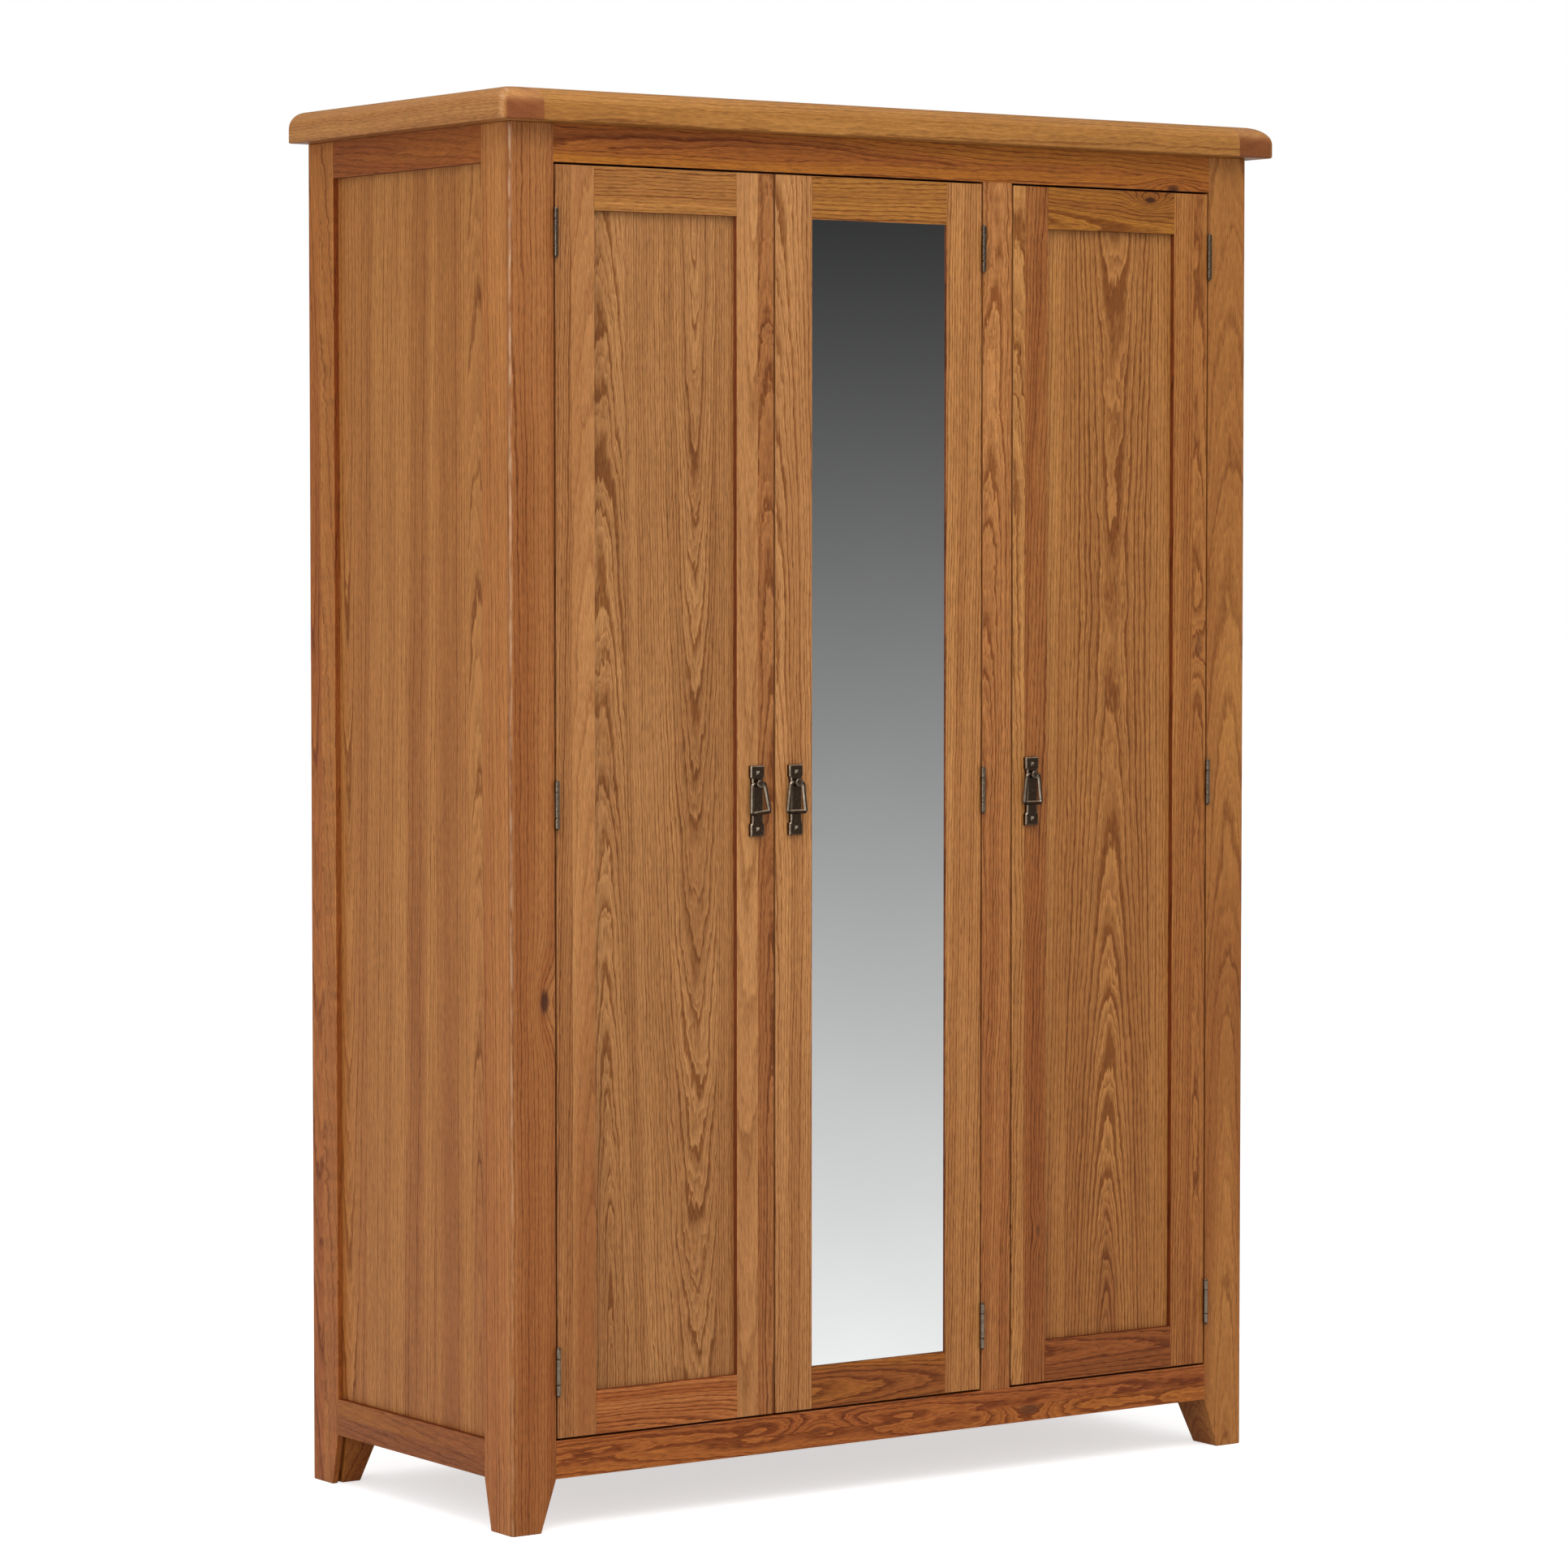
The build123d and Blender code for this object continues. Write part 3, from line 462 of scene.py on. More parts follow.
def new_group(name, inputs, outputs):
    """A shader node group with named sockets: (kind, name) for each, and an input may have a default."""
    tree = bpy.data.node_groups.new(name, "ShaderNodeTree")
    for kind, label, *default in inputs:
        socket = tree.interface.new_socket(label, in_out="INPUT", socket_type="NodeSocket" + kind)
        if default:
            socket.default_value = default[0]
    for kind, label in outputs:
        tree.interface.new_socket(label, in_out="OUTPUT", socket_type="NodeSocket" + kind)
    graph = Graph(tree)
    source = graph.node("NodeGroupInput").outputs
    sink = graph.node("NodeGroupOutput").inputs
    return graph, source, sink


def new_material(name):
    """A material with its Principled shader, the shader's inputs and the place in the frame."""
    material = bpy.data.materials.new(name)
    material.use_nodes = True
    graph = Graph(material.node_tree)
    graph.tree.nodes.clear()
    shader = graph.node("ShaderNodeBsdfPrincipled")
    graph.node("ShaderNodeOutputMaterial", {"Surface": shader.outputs[0]})
    place = graph.node("ShaderNodeTexCoord").outputs["Object"]
    return material, graph, shader.inputs, place


def coat(graph, shader, colour, roughness, height=None, strength=0.0, distance=0.3 * MM):
    """Feeds a shader its colour and roughness, and a bump if there is a height."""
    graph.feed(shader["Base Color"], colour)
    graph.feed(shader["Roughness"], roughness)
    if height is not None:
        inputs = {"Height": height, "Strength": strength, "Distance": distance}
        graph.feed(shader["Normal"], graph.node("ShaderNodeBump", inputs).outputs[0])


# ---------------------------------------------------------------- oak
def build_stave_group():
    """Growth rings of one stave, cut by its faces.

    The rings are cylinders about a pith that lies beside the stave, leans along the grain, bows
    in depth and wavers. Each ring opens with a dark line of pores that breaks off sharply, and finer lines
    lie between. A knot lifts the rings round it, so they close into ovals on the face.
    """
    graph, given, out = new_group(
        "oak stave",
        [("Vector", "Board"), ("Float", "Seed", 0.0), ("Vector", "Pith"), ("Vector", "Lean"),
         ("Float", "Ring Pitch", 0.005), ("Float", "Waver", 0.006), ("Float", "Line", 0.8),
         ("Float", "Light", 1.0), ("Float", "Heart", 0.3), ("Float", "Gold", 0.0), ("Float", "Curl", 0.0),
         ("Vector", "Knot", (9, 0, 9)), ("Float", "Knot Reach", 0.02), ("Float", "Knot Lift", 0.0),
         ("Color", "Honey"), ("Color", "Heart Colour"), ("Color", "Gold Colour"), ("Color", "Line Tint"),
         ("Color", "Knot Colour")],
        [("Color", "Color"), ("Float", "Line")])
    maths, vector, remap, plus, times = graph.maths, graph.vector, graph.remap, graph.plus, graph.times
    at = given["Board"]
    shifted = vector("ADD", at, graph.scaled((3.17, 1.73, 2.39), given["Seed"]))

    def drift(scale, strength, detail=1.0):
        colour = graph.noise(vector("MULTIPLY", shifted, scale), detail=detail)["Color"]
        return graph.scaled(vector("SUBTRACT", colour, (0.5, 0.5, 0.5)), strength)

    # How far the place lies from the pith, in rings.
    along = graph.split(at)["Z"]
    bow = times(graph.split(given["Lean"])["Z"], times(along, along))
    centre = vector("ADD", given["Pith"], graph.scaled(given["Lean"], along))
    centre = vector("ADD", centre, graph.join(0.0, bow, 0.0))
    offset = vector("ADD", vector("SUBTRACT", at, centre), drift((6.0, 6.0, 2.6), given["Waver"], 2.0))
    offset = vector("ADD", offset, drift((42.0, 42.0, 11.0), 0.0050))
    offset = vector("ADD", offset, drift((240.0, 240.0, 46.0), 0.0024))
    radius = vector("LENGTH", vector("MULTIPLY", offset, (1.0, 1.0, 0.0)))
    from_knot = vector("MULTIPLY", vector("SUBTRACT", at, given["Knot"]), (1.0, 0.0, 0.42))
    apart = maths("DIVIDE", vector("LENGTH", from_knot), given["Knot Reach"])
    rise = maths("EXPONENT", times(apart, apart, -1.0))
    curled = times(graph.mottle(shifted, (14.0, 14.0, 85.0), 0.3, 0.7, -1.0, 1.0), given["Curl"])
    radius = plus(radius, times(rise, given["Knot Lift"]), times(curled, 0.016))
    rings = maths("DIVIDE", radius, given["Ring Pitch"])

    def along_rings(scale):
        inputs = {"W": plus(times(rings, scale), given["Seed"]), "Scale": 1.0, "Detail": 1.0}
        return graph.node("ShaderNodeTexNoise", inputs, noise_dimensions="1D").outputs["Fac"]

    # The dark line that opens each ring, and the finer ones between.
    band = remap(along_rings(0.21), 0.3, 0.7, -0.5, 0.5)
    rings = plus(rings, times(along_rings(0.6), 0.8))
    across = maths("FRACT", rings)
    wide = graph.node("ShaderNodeTexWhiteNoise", {"W": maths("FLOOR", rings)}, noise_dimensions="1D")
    wide = wide.outputs["Value"]
    reach = times(remap(wide, 0.0, 1.0, 0.38, 0.62),
                  maths("DIVIDE", 0.0055, given["Ring Pitch"], clamp=True))
    main = times(remap(maths("DIVIDE", across, reach), 0.15, 1.0, 1.0, 0.0, smooth=True),
                 remap(across, 0.0, 0.06), remap(wide, 0.0, 1.0, 0.78, 1.2))
    finer = remap(maths("FRACT", times(rings, 3.0)), 0.0, 0.8, 0.5, 0.0)
    line = times(maths("MAXIMUM", main, finer),
                 graph.mottle(shifted, (900.0, 900.0, 55.0), 0.38, 0.56, 0.66, 1.0),
                 graph.mottle(shifted, (30.0, 30.0, 4.0), 0.35, 0.6, 0.72, 1.0))

    # The colour between the lines, the lines over it, and the knot.
    streak = graph.mottle(shifted, (30.0, 30.0, 1.5), 0.3, 0.7, -0.5, 0.5, 2.5)
    warm = plus(given["Heart"], times(streak, 0.22), times(band, 0.26), clamp=True)
    ground = graph.blend(given["Gold"], given["Honey"], given["Gold Colour"])
    ground = graph.blend(warm, ground, given["Heart Colour"])
    value = times(given["Light"], plus(1.06, times(streak, -0.10), times(band, -0.14), curled))
    strength = times(line, given["Line"], clamp=True)
    colour = graph.tinted(ground, graph.blend(strength, (1, 1, 1), given["Line Tint"]))
    dark = times(remap(apart, 0.16, 0.42, 1.0, 0.0, smooth=True),
                 remap(given["Knot Lift"], 0.0, 0.02, 0.0, 0.9))
    colour = graph.blend(dark, colour, given["Knot Colour"])
    graph.feed(out["Color"], graph.scaled(colour, value))
    graph.feed(out["Line"], strength)


def build_fibre_group():
    """Pores and fibres that run the length of a board, over all its staves.

    A mark above nought is a pale, ragged edge, partly lacquer gone and partly a painted highlight; below
    nought it darkens a recess wall, partly with staining and partly with painted shade.
    """
    graph, given, out = new_group(
        "oak fibre",
        [("Vector", "Board"), ("Float", "Seed", 0.0), ("Color", "Color"), ("Float", "Line", 0.0),
         ("Float", "Roughness", 0.42), ("Float", "Wear", 0.0), ("Color", "Line Tint"),
         ("Color", "Rubbed Edge")],
        [("Color", "Color"), ("Float", "Roughness"), ("Float", "Height")])
    plus, times, blend, mottle = graph.plus, graph.times, graph.blend, graph.mottle
    shifted = graph.vector("ADD", given["Board"], graph.scaled((1.9, 2.7, 3.3), given["Seed"]))
    fibre = mottle(shifted, (520.0, 520.0, 14.0), 0.3, 0.7, 0.0, 1.0, 2.0)
    fleck = mottle(shifted, (760.0, 760.0, 75.0), 0.34, 0.66, 0.0, 1.0, 1.5)
    pore = mottle(shifted, (1500.0, 1500.0, 70.0), 0.56, 0.66, 0.0, 1.0)
    shade = times(graph.remap(fibre, 0, 1, 0.91, 1.09), graph.remap(fleck, 0, 1, 0.86, 1.14))
    depth = times(pore, plus(0.3, times(given["Line"], 0.6)))
    colour = graph.scaled(given["Color"], shade)
    colour = graph.tinted(colour, blend(depth, (1, 1, 1), given["Line Tint"]))
    ragged = mottle(shifted, (160.0, 160.0, 26.0), 0.40, 0.62, 0.0, 1.0, 3.0)
    # Pale ragged edges: partly lacquer gone from them, partly a painted highlight.
    rubbed_and_highlit = times(graph.maths("MAXIMUM", given["Wear"], 0.0), ragged, clamp=True)
    colour = blend(times(rubbed_and_highlit, 0.8), colour, given["Rubbed Edge"])
    # Recess walls darkened and reddened: partly staining, partly painted shade.
    stained_and_shaded = times(given["Wear"], -1.0, clamp=True)
    colour = blend(stained_and_shaded, colour, graph.tinted(colour, (0.46, 0.26, 0.26)))
    height = graph.maths("SUBTRACT", times(fibre, 0.3), depth)
    graph.feed(out["Color"], colour)
    graph.feed(out["Roughness"], plus(given["Roughness"], times(depth, 0.2), times(given["Line"], 0.08)))
    graph.feed(out["Height"], graph.maths("SUBTRACT", height, times(given["Line"], 0.5)))


def stave(seed, pith, lean, pitch, waver, line, light, heart, gold=0.0, curl=0.0, bow=0.0, knot=None):
    """One glued stave, as what changes from stave to stave in the pattern.

    The pith lies across and through from the middle of the board, and leans so much for each metre of
    the grain. Lengths are in millimetres, bow is per metre; a knot is (across, along, reach, lift).
    """
    across, along, reach, lift = knot or (9000, 9000, 20, 0)
    return (
        (pith[0] * MM, pith[1] * MM, gold), (*lean, bow), (across * MM, 0, along * MM),
        (seed, 1.1 * pitch * MM, waver * MM), (1.5 * line, light, heart), (curl, reach * MM, lift * MM))


# The seams of each board across its face, and the staves between them. A stave reads seed, pith, lean,
# ring pitch, waver, strength of line, light, heart, gold and curl.
GRAIN = {
    "top_field": ((-90, 95), [
        stave(11.3, (-180, 30), (0, 0.01), 5.5, 14, 0.5, 0.79, 0.04, 0.46),
        stave(12.1, (20, 22), (0.02, 0.03), 6, 16, 0.7, 0.75, 0.24, 0.46),
        stave(13.9, (150, 26), (0.02, -0.02), 5.2, 12, 0.7, 0.77, 0.14, 0.46)]),
    "top_end_left": ((), [stave(20.7, (-60, 120), (0.01, 0), 3.2, 6, 0.35, 0.92, 0.12, 0.15)]),
    "top_end_right": ((), [stave(22.7, (60, 120), (0.01, 0), 3.2, 6, 0.35, 0.82, 0.12, 0.15)]),
    "post_front_left": ((-29,), [
        stave(31.2, (-74, 12), (0.012, 0.02), 4.4, 9, 0.7, 0.84, 0.52, 0.04, knot=(18, -229, 23, 19)),
        stave(33.8, (-30, 60), (0.02, 0.012), 8.5, 9, 0.65, 1.07, 0.43, 0.26, knot=(9, 130, 9, 22))]),
    "post_front_right": ((-25,), [
        stave(35.1, (6, 24), (0, 0.05), 8, 14, 0.55, 0.81, 0.39, 0.38),
        stave(36.6, (30, 20), (0.02, 0.03), 5.5, 12, 0.6, 0.85, 0.47, 0.38)]),
    "post_back_left": ((2,), [
        stave(37.9, (60, 30), (0.04, 0.02), 8, 14, 0.6, 1.02, 0.48, 0.44, 0.08),
        stave(38.3, (-60, 20), (0.05, 0.02), 7.5, 12, 0.7, 1.02, 0.68, 0.44)]),
    "post_back_right": ((0,), [
        stave(39.4, (60, 30), (0.02, 0.02), 4.8, 12, 0.7, 0.97, 0.4),
        stave(40.2, (-60, 20), (0.03, 0.02), 5, 12, 0.6, 0.95, 0.45)]),
    # The top rail's full heart and lower light are partly its own colour and partly painted shade under the
    # top's overhang.
    "front_rail_top": ((6,), [
        stave(41.5, (34, -24), (0.05, 0.05), 6, 34, 0.9, 0.93, 0.78, 1),
        stave(42.8, (-40, 24), (0, 0.02), 5.2, 12, 0.8, 0.93, 0.71, 1, knot=(23, 500, 16, 17))]),
    "front_rail_bottom": ((2,), [
        stave(43.1, (-6, 14), (0, 0.012), 3.6, 15, 1.1, 1.01, 0.73, 1, knot=(6, -130, 24, 16)),
        stave(44.6, (10, 20), (0.01, -0.01), 3.8, 15, 1.1, 1.03, 0.68, 1, knot=(8, 240, 26, 16))]),
    "mullion": ((), [stave(46.4, (-26, 12), (0.03, 0.03), 4.2, 24, 0.95, 0.92, 0.43, 0.08, 0.02)]),
    "door_left_hinge_stile": ((-6,), [
        stave(71.1, (-120, 20), (0.02, 0), 3.8, 8, 1, 0.8, 0.28),
        stave(72.2, (26, 26), (0, 0.045), 7, 12, 0.35, 0.85, 0.26)]),
    "door_left_lock_stile": ((4,), [
        stave(73.3, (-10, 24), (0.01, -0.03), 6, 12, 0.4, 0.89, 0.05),
        stave(74.4, (26, 10), (0, 0.035), 4.4, 22, 0.85, 0.81, 0.47, 0, 0.025)]),
    "door_left_rail_top": ((), [stave(75.5, (-160, 20), (0, 0), 4.2, 8, 0.75, 0.83, 0.21, 0.38)]),
    "door_left_rail_bottom": ((), [stave(76.6, (40, 16), (0, 0.06), 4.6, 16, 1.1, 1.08, 0.63, 0.04)]),
    "door_left_panel": ((-62, 88), [
        stave(77.1, (-97, 33), (-0.013, 0.045), 3.6, 5, 0.95, 0.82, 0),
        stave(78.2, (54, 36), (-0.003, -0.045), 3.6, 5, 1, 0.82, 0),
        stave(79.3, (260, 20), (0, 0), 3.6, 5, 0.95, 0.84, 0)]),
    "door_mirror_hinge_stile": ((), [stave(81.1, (-240, 40), (0.02, 0), 4.4, 7, 0.95, 0.95, 0.07, 0.12)]),
    "door_mirror_lock_stile": ((), [stave(82.2, (-40, 14), (0.014, 0.04), 4.2, 14, 0.8, 0.93, 0)]),
    "door_mirror_rail_top": ((), [stave(83.3, (-60, 20), (0, 0.04), 5, 16, 0.85, 0.82, 0.27, 0.62)]),
    "door_mirror_rail_bottom": ((), [stave(84.4, (6, 16), (0.01, 0.04), 4.2, 16, 0.9, 0.82, 0.62, 1)]),
    "door_right_hinge_stile": ((6,), [
        stave(91.1, (-160, 20), (0.02, 0), 4.6, 8, 0.95, 0.88, 0.41, 0.34),
        stave(92.2, (14, 10), (0, 0.02), 3.8, 12, 0.8, 0.89, 0.39, 0.34, knot=(18, 200, 20, 9))]),
    "door_right_lock_stile": ((-10,), [
        stave(93.3, (-50, 12), (0.03, 0.05), 6, 22, 0.9, 0.95, 0, 0.2, 0.035),
        stave(94.4, (46, 14), (0.012, 0.03), 4.2, 12, 0.9, 0.8, 0.62, 0.2, 0.02, knot=(16, -640, 12, 8))]),
    "door_right_rail_top": ((), [
        stave(95.5, (24, 16), (0.02, 0.03), 4.4, 14, 1, 0.77, 0.46, 0.84, knot=(-18, 71, 14, 22))]),
    "door_right_rail_bottom": ((), [stave(96.6, (-10, 20), (0.02, 0.02), 4.4, 14, 0.75, 0.76, 0.95, 1)]),
    "door_right_panel": ((-76, 84), [
        stave(97.1, (-260, 30), (0.02, 0), 5.4, 7, 0.95, 0.9, 0.15, 0.24),
        stave(98.2, (8, 56), (0.006, 0.03), 5.4, 7, 1.25, 0.86, 0.23, 0.24, bow=-0.05),
        stave(99.3, (260, 30), (0, 0), 5.4, 6, 0.95, 0.91, 0.13, 0.24)]),
}
for side, panel_seed in (("left", 61), ("right", 67)):
    GRAIN["side_panel_" + side] = ((-130, -20, 62, 150), [
        stave(panel_seed + 0.1, (-176, 18), (0, -0.03), 8, 8, 0.8, 1, 0.31, 0.28),
        stave(panel_seed + 1.2, (-520, 60), (0.02, 0), 10, 10, 1.05, 0.99, 0.23, 0.28),
        stave(panel_seed + 2.3, (-420, 40), (0.02, 0), 9, 10, 1.1, 0.98, 0.29, 0.28),
        stave(panel_seed + 3.4, (520, 40), (0, 0), 10, 8, 1, 0.97, 0.31, 0.28),
        stave(panel_seed + 4.5, (174, 34), (0, 0.045), 8, 6, 0.75, 0.99, 0.27, 0.28)])
    # The top side rails' full heart is partly their own colour and partly painted shade under the top's
    # overhang.
    for level, seed, light, heart in (("top", 51, 0.86, 1.0), ("bottom", 53, 0.77, 0.85)):
        GRAIN[f"side_rail_{level}_{side}"] = ((0,), [
            stave(seed + 0.4, (10, 18), (0.03, 0.04), 5, 12, 0.45, light, heart, 1),
            stave(seed + 0.9, (-12, 30), (0.02, -0.05), 4.6, 12, 0.35, light * 1.04, heart - 0.1, 1)])


def chosen(graph, here, seams, values):
    """The value of the stave at a place across the board: each seam steps on to the next one."""
    picked = values[0]
    for seam, value in zip(seams, values[1:]):
        inputs = {0: graph.maths("GREATER_THAN", here, seam * MM), 4: picked, 5: value}
        picked = graph.node("ShaderNodeMix", inputs, data_type="VECTOR").outputs[1]
    return picked


def oak(name, low, high, grain, seams, staves, across=None, seam_axis="X"):
    """Oak of a board between two corners: its staves side by side, with pores and fibres over them.

    Board coordinates are across, through and along the grain from the board's centre. The wider face
    lies across unless told otherwise. A seam is a place across the board, in millimetres, where the
    next stave begins. Towards the floor the whole piece is painted darker and redder, as painted shade.
    """
    material, graph, shader, place = new_material(name)
    finish = settings("finish")
    low, high = np.asarray(low), np.asarray(high)
    others = [axis for axis in range(3) if axis != grain]
    if across is None:
        across = max(others, key=lambda axis: (high - low)[axis])
    through = others[0] if others[1] == across else others[1]
    rows = AXES[[across, through, grain]]
    if np.linalg.det(rows) < 0:
        rows[0] = -rows[0]
    turn = Matrix(rows.tolist())
    inputs = {"Vector": place, "Location": -(turn @ Vector((low + high) / 2)), "Rotation": turn.to_euler()}
    board_at = graph.node("ShaderNodeMapping", inputs).outputs[0]
    here = graph.split(board_at)[seam_axis]
    pith, lean, knot, growth, tone, extra = [
        chosen(graph, here, seams, values) for values in zip(*staves)]
    pith_across, pith_deep, gold = graph.parts(pith)
    seed, pitch, waver = graph.parts(growth)
    line, light, heart = graph.parts(tone)
    curl, reach, lift = graph.parts(extra)
    level = graph.split(place)["Z"]
    # Painted shade: more heart towards the floor, so the oak darkens and reddens there.
    heart = graph.plus(heart, graph.remap(level, 0.1, 1.9, finish.foot_shade, 0.0))
    made = graph.group("oak stave", {
        "Board": board_at, "Seed": seed, "Pith": graph.join(pith_across, pith_deep, 0.0), "Lean": lean,
        "Ring Pitch": pitch, "Waver": waver, "Line": line, "Light": light, "Heart": heart, "Gold": gold,
        "Curl": curl, "Knot": knot, "Knot Reach": reach, "Knot Lift": lift, "Honey": finish.honey,
        "Heart Colour": finish.heart, "Gold Colour": finish.gold, "Line Tint": finish.line,
        "Knot Colour": finish.knot})
    over = graph.group("oak fibre", {
        "Board": board_at, "Seed": seed, "Color": made["Color"], "Line": made["Line"],
        "Wear": graph.wear(), "Roughness": finish.roughness, "Line Tint": finish.line,
        "Rubbed Edge": finish.worn_and_highlit})
    coat(graph, shader, over["Color"], over["Roughness"], over["Height"], 0.35)
    shader["Specular IOR Level"].default_value = 0.32
    shader["Specular Tint"].default_value = (1.0, 0.86, 0.68, 1.0)
    return material


def plain_oak(name, node, grain, across, width, seed, count, light, heart):
    """Oak of a kept node in unremarkable staves, drawn from a seed, that share a width evenly."""
    draw = np.random.default_rng(seed).uniform
    staves = [
        stave(seed + index * 0.37, (draw(-90, 90), draw(15, 70)), (draw(-0.03, 0.03), draw(-0.05, 0.05)),
              draw(3.5, 6.5), draw(6, 16), draw(0.6, 0.9), light * draw(0.95, 1.05),
              heart + draw(-0.12, 0.12))
        for index in range(count)]
    seams = [width / MM * ((index + 1) / count - 0.5) for index in range(count - 1)]
    return oak(name, *box_of(node), grain, seams, staves, across)


def add_board(node, form, low, high, grain, body="carcass", slot="oak_frame", **lie):
    """Ties a form to the board it stands for, in the grain of that board."""
    seams, staves = GRAIN[node]
    material = oak(node + " oak", low, high, grain, seams, staves, **lie)
    add_piece(node + "_board", form, body, material, slot, node)


def add_straight_board(node, low, high, grain, ends=None, cuts=None, **tie):
    """A board with eased edges; its ends are eased as a joint line unless told otherwise."""
    sizes = settings("boards")
    form = board(low, high, grain, sizes.arris, sizes.joint if ends is None else ends, cuts)
    add_board(node, form, low, high, grain, **tie)


# ---------------------------------------------------------------- metals, mirror and the rest
def build_metal_group():
    """Cast metal: cloudy patina, fine pitting, and a bright colour where the mesh marks it, partly polish
    from hands and partly painted highlights on edges and bevels.
    """
    graph, given, out = new_group(
        "worn metal",
        [("Vector", "Place"), ("Color", "Dark"), ("Color", "Rubbed"), ("Float", "Wear", 0.0),
         ("Float", "Roughness", 0.4)],
        [("Color", "Color"), ("Float", "Roughness"), ("Float", "Height")])
    cloud = graph.noise(given["Place"], 180.0, 4.0, 0.6)["Fac"]
    pit = graph.noise(given["Place"], 1400.0)["Fac"]
    dent = graph.noise(given["Place"], 260.0, 1.0)["Fac"]
    # Painted highlights and polish: where the mark is high, the dark metal turns to the bright colour.
    rub_and_highlight = graph.times(given["Wear"], graph.remap(cloud, 0.35, 0.6, 0.55, 1.0), clamp=True)
    rub_and_highlight = graph.plus(rub_and_highlight, graph.remap(cloud, 0.55, 0.8, 0.0, 0.10), clamp=True)
    rough = graph.plus(given["Roughness"], graph.remap(pit, 0.3, 0.7, -0.06, 0.10))
    graph.feed(out["Color"], graph.blend(rub_and_highlight, given["Dark"], given["Rubbed"]))
    graph.feed(out["Roughness"], graph.maths("SUBTRACT", rough, graph.times(rub_and_highlight, 0.08)))
    graph.feed(out["Height"], graph.plus(graph.times(pit, 0.25), dent))


def metal(name, dark, rubbed_and_highlit, roughness, bump=0.25):
    """One metal of the shared pattern, from its dark ground and the bright colour of its polished spots and
    painted highlights.
    """
    material, graph, shader, place = new_material(name)
    made = graph.group("worn metal", {
        "Place": place, "Dark": dark, "Rubbed": rubbed_and_highlit, "Wear": graph.wear(), "Roughness": roughness})
    shader["Metallic"].default_value = 1.0
    coat(graph, shader, made["Color"], made["Roughness"], made["Height"], bump)
    return material


def mirror_glass():
    """Silvered glass with the faintest cloud of dust in its gloss."""
    material, graph, shader, place = new_material("mirror silver")
    cloud = graph.noise(place, 5.0, 3.0)["Fac"]
    silver = settings("finish").silver
    dull = [0.97 * value for value in silver]
    shader["Metallic"].default_value = 1.0
    coat(graph, shader, graph.blend(graph.remap(cloud, 0.3, 0.7), silver, dull),
         graph.remap(cloud, 0.3, 0.7, 0.012, 0.03))
    return material


def backing_card():
    """Grey-brown fibreboard behind the mirror."""
    material, graph, shader, place = new_material("backing board")
    fleck = graph.noise(place, 900.0, 3.0, 0.7)["Fac"]
    cloud = graph.noise(place, 14.0, 3.0)["Fac"]
    colour = graph.blend(graph.remap(fleck, 0.35, 0.65), (0.20, 0.12, 0.066), (0.31, 0.20, 0.12))
    colour = graph.blend(graph.remap(cloud, 0.3, 0.7, 0.0, 0.35), colour, (0.17, 0.10, 0.055))
    coat(graph, shader, colour, graph.remap(fleck, 0.3, 0.7, 0.62, 0.8), fleck, 0.3)
    return material


def catch_plastic():
    """Brown moulded plastic of the catches."""
    material, graph, shader, place = new_material("catch plastic")
    grit = graph.noise(place, 2200.0)["Fac"]
    cloud = graph.noise(place, 60.0)["Fac"]
    colour = graph.blend(cloud, (0.11, 0.055, 0.028), (0.16, 0.085, 0.045))
    coat(graph, shader, colour, graph.remap(grit, 0.3, 0.7, 0.40, 0.52), grit, 0.2, 0.1 * MM)
    return material


# ---------------------------------------------------------------- operators
class PieceOperator:
    """What the operators share."""

    bl_options = {"REGISTER", "UNDO"}


class WARDROBE_OT_patterns(PieceOperator, Operator):
    """Builds the shared patterns of oak and metal"""

    bl_idname = "wardrobe.patterns"
    bl_label = "Shared patterns"

    def execute(self, context):
        build_stave_group()
        build_fibre_group()
        build_metal_group()
        return {"FINISHED"}


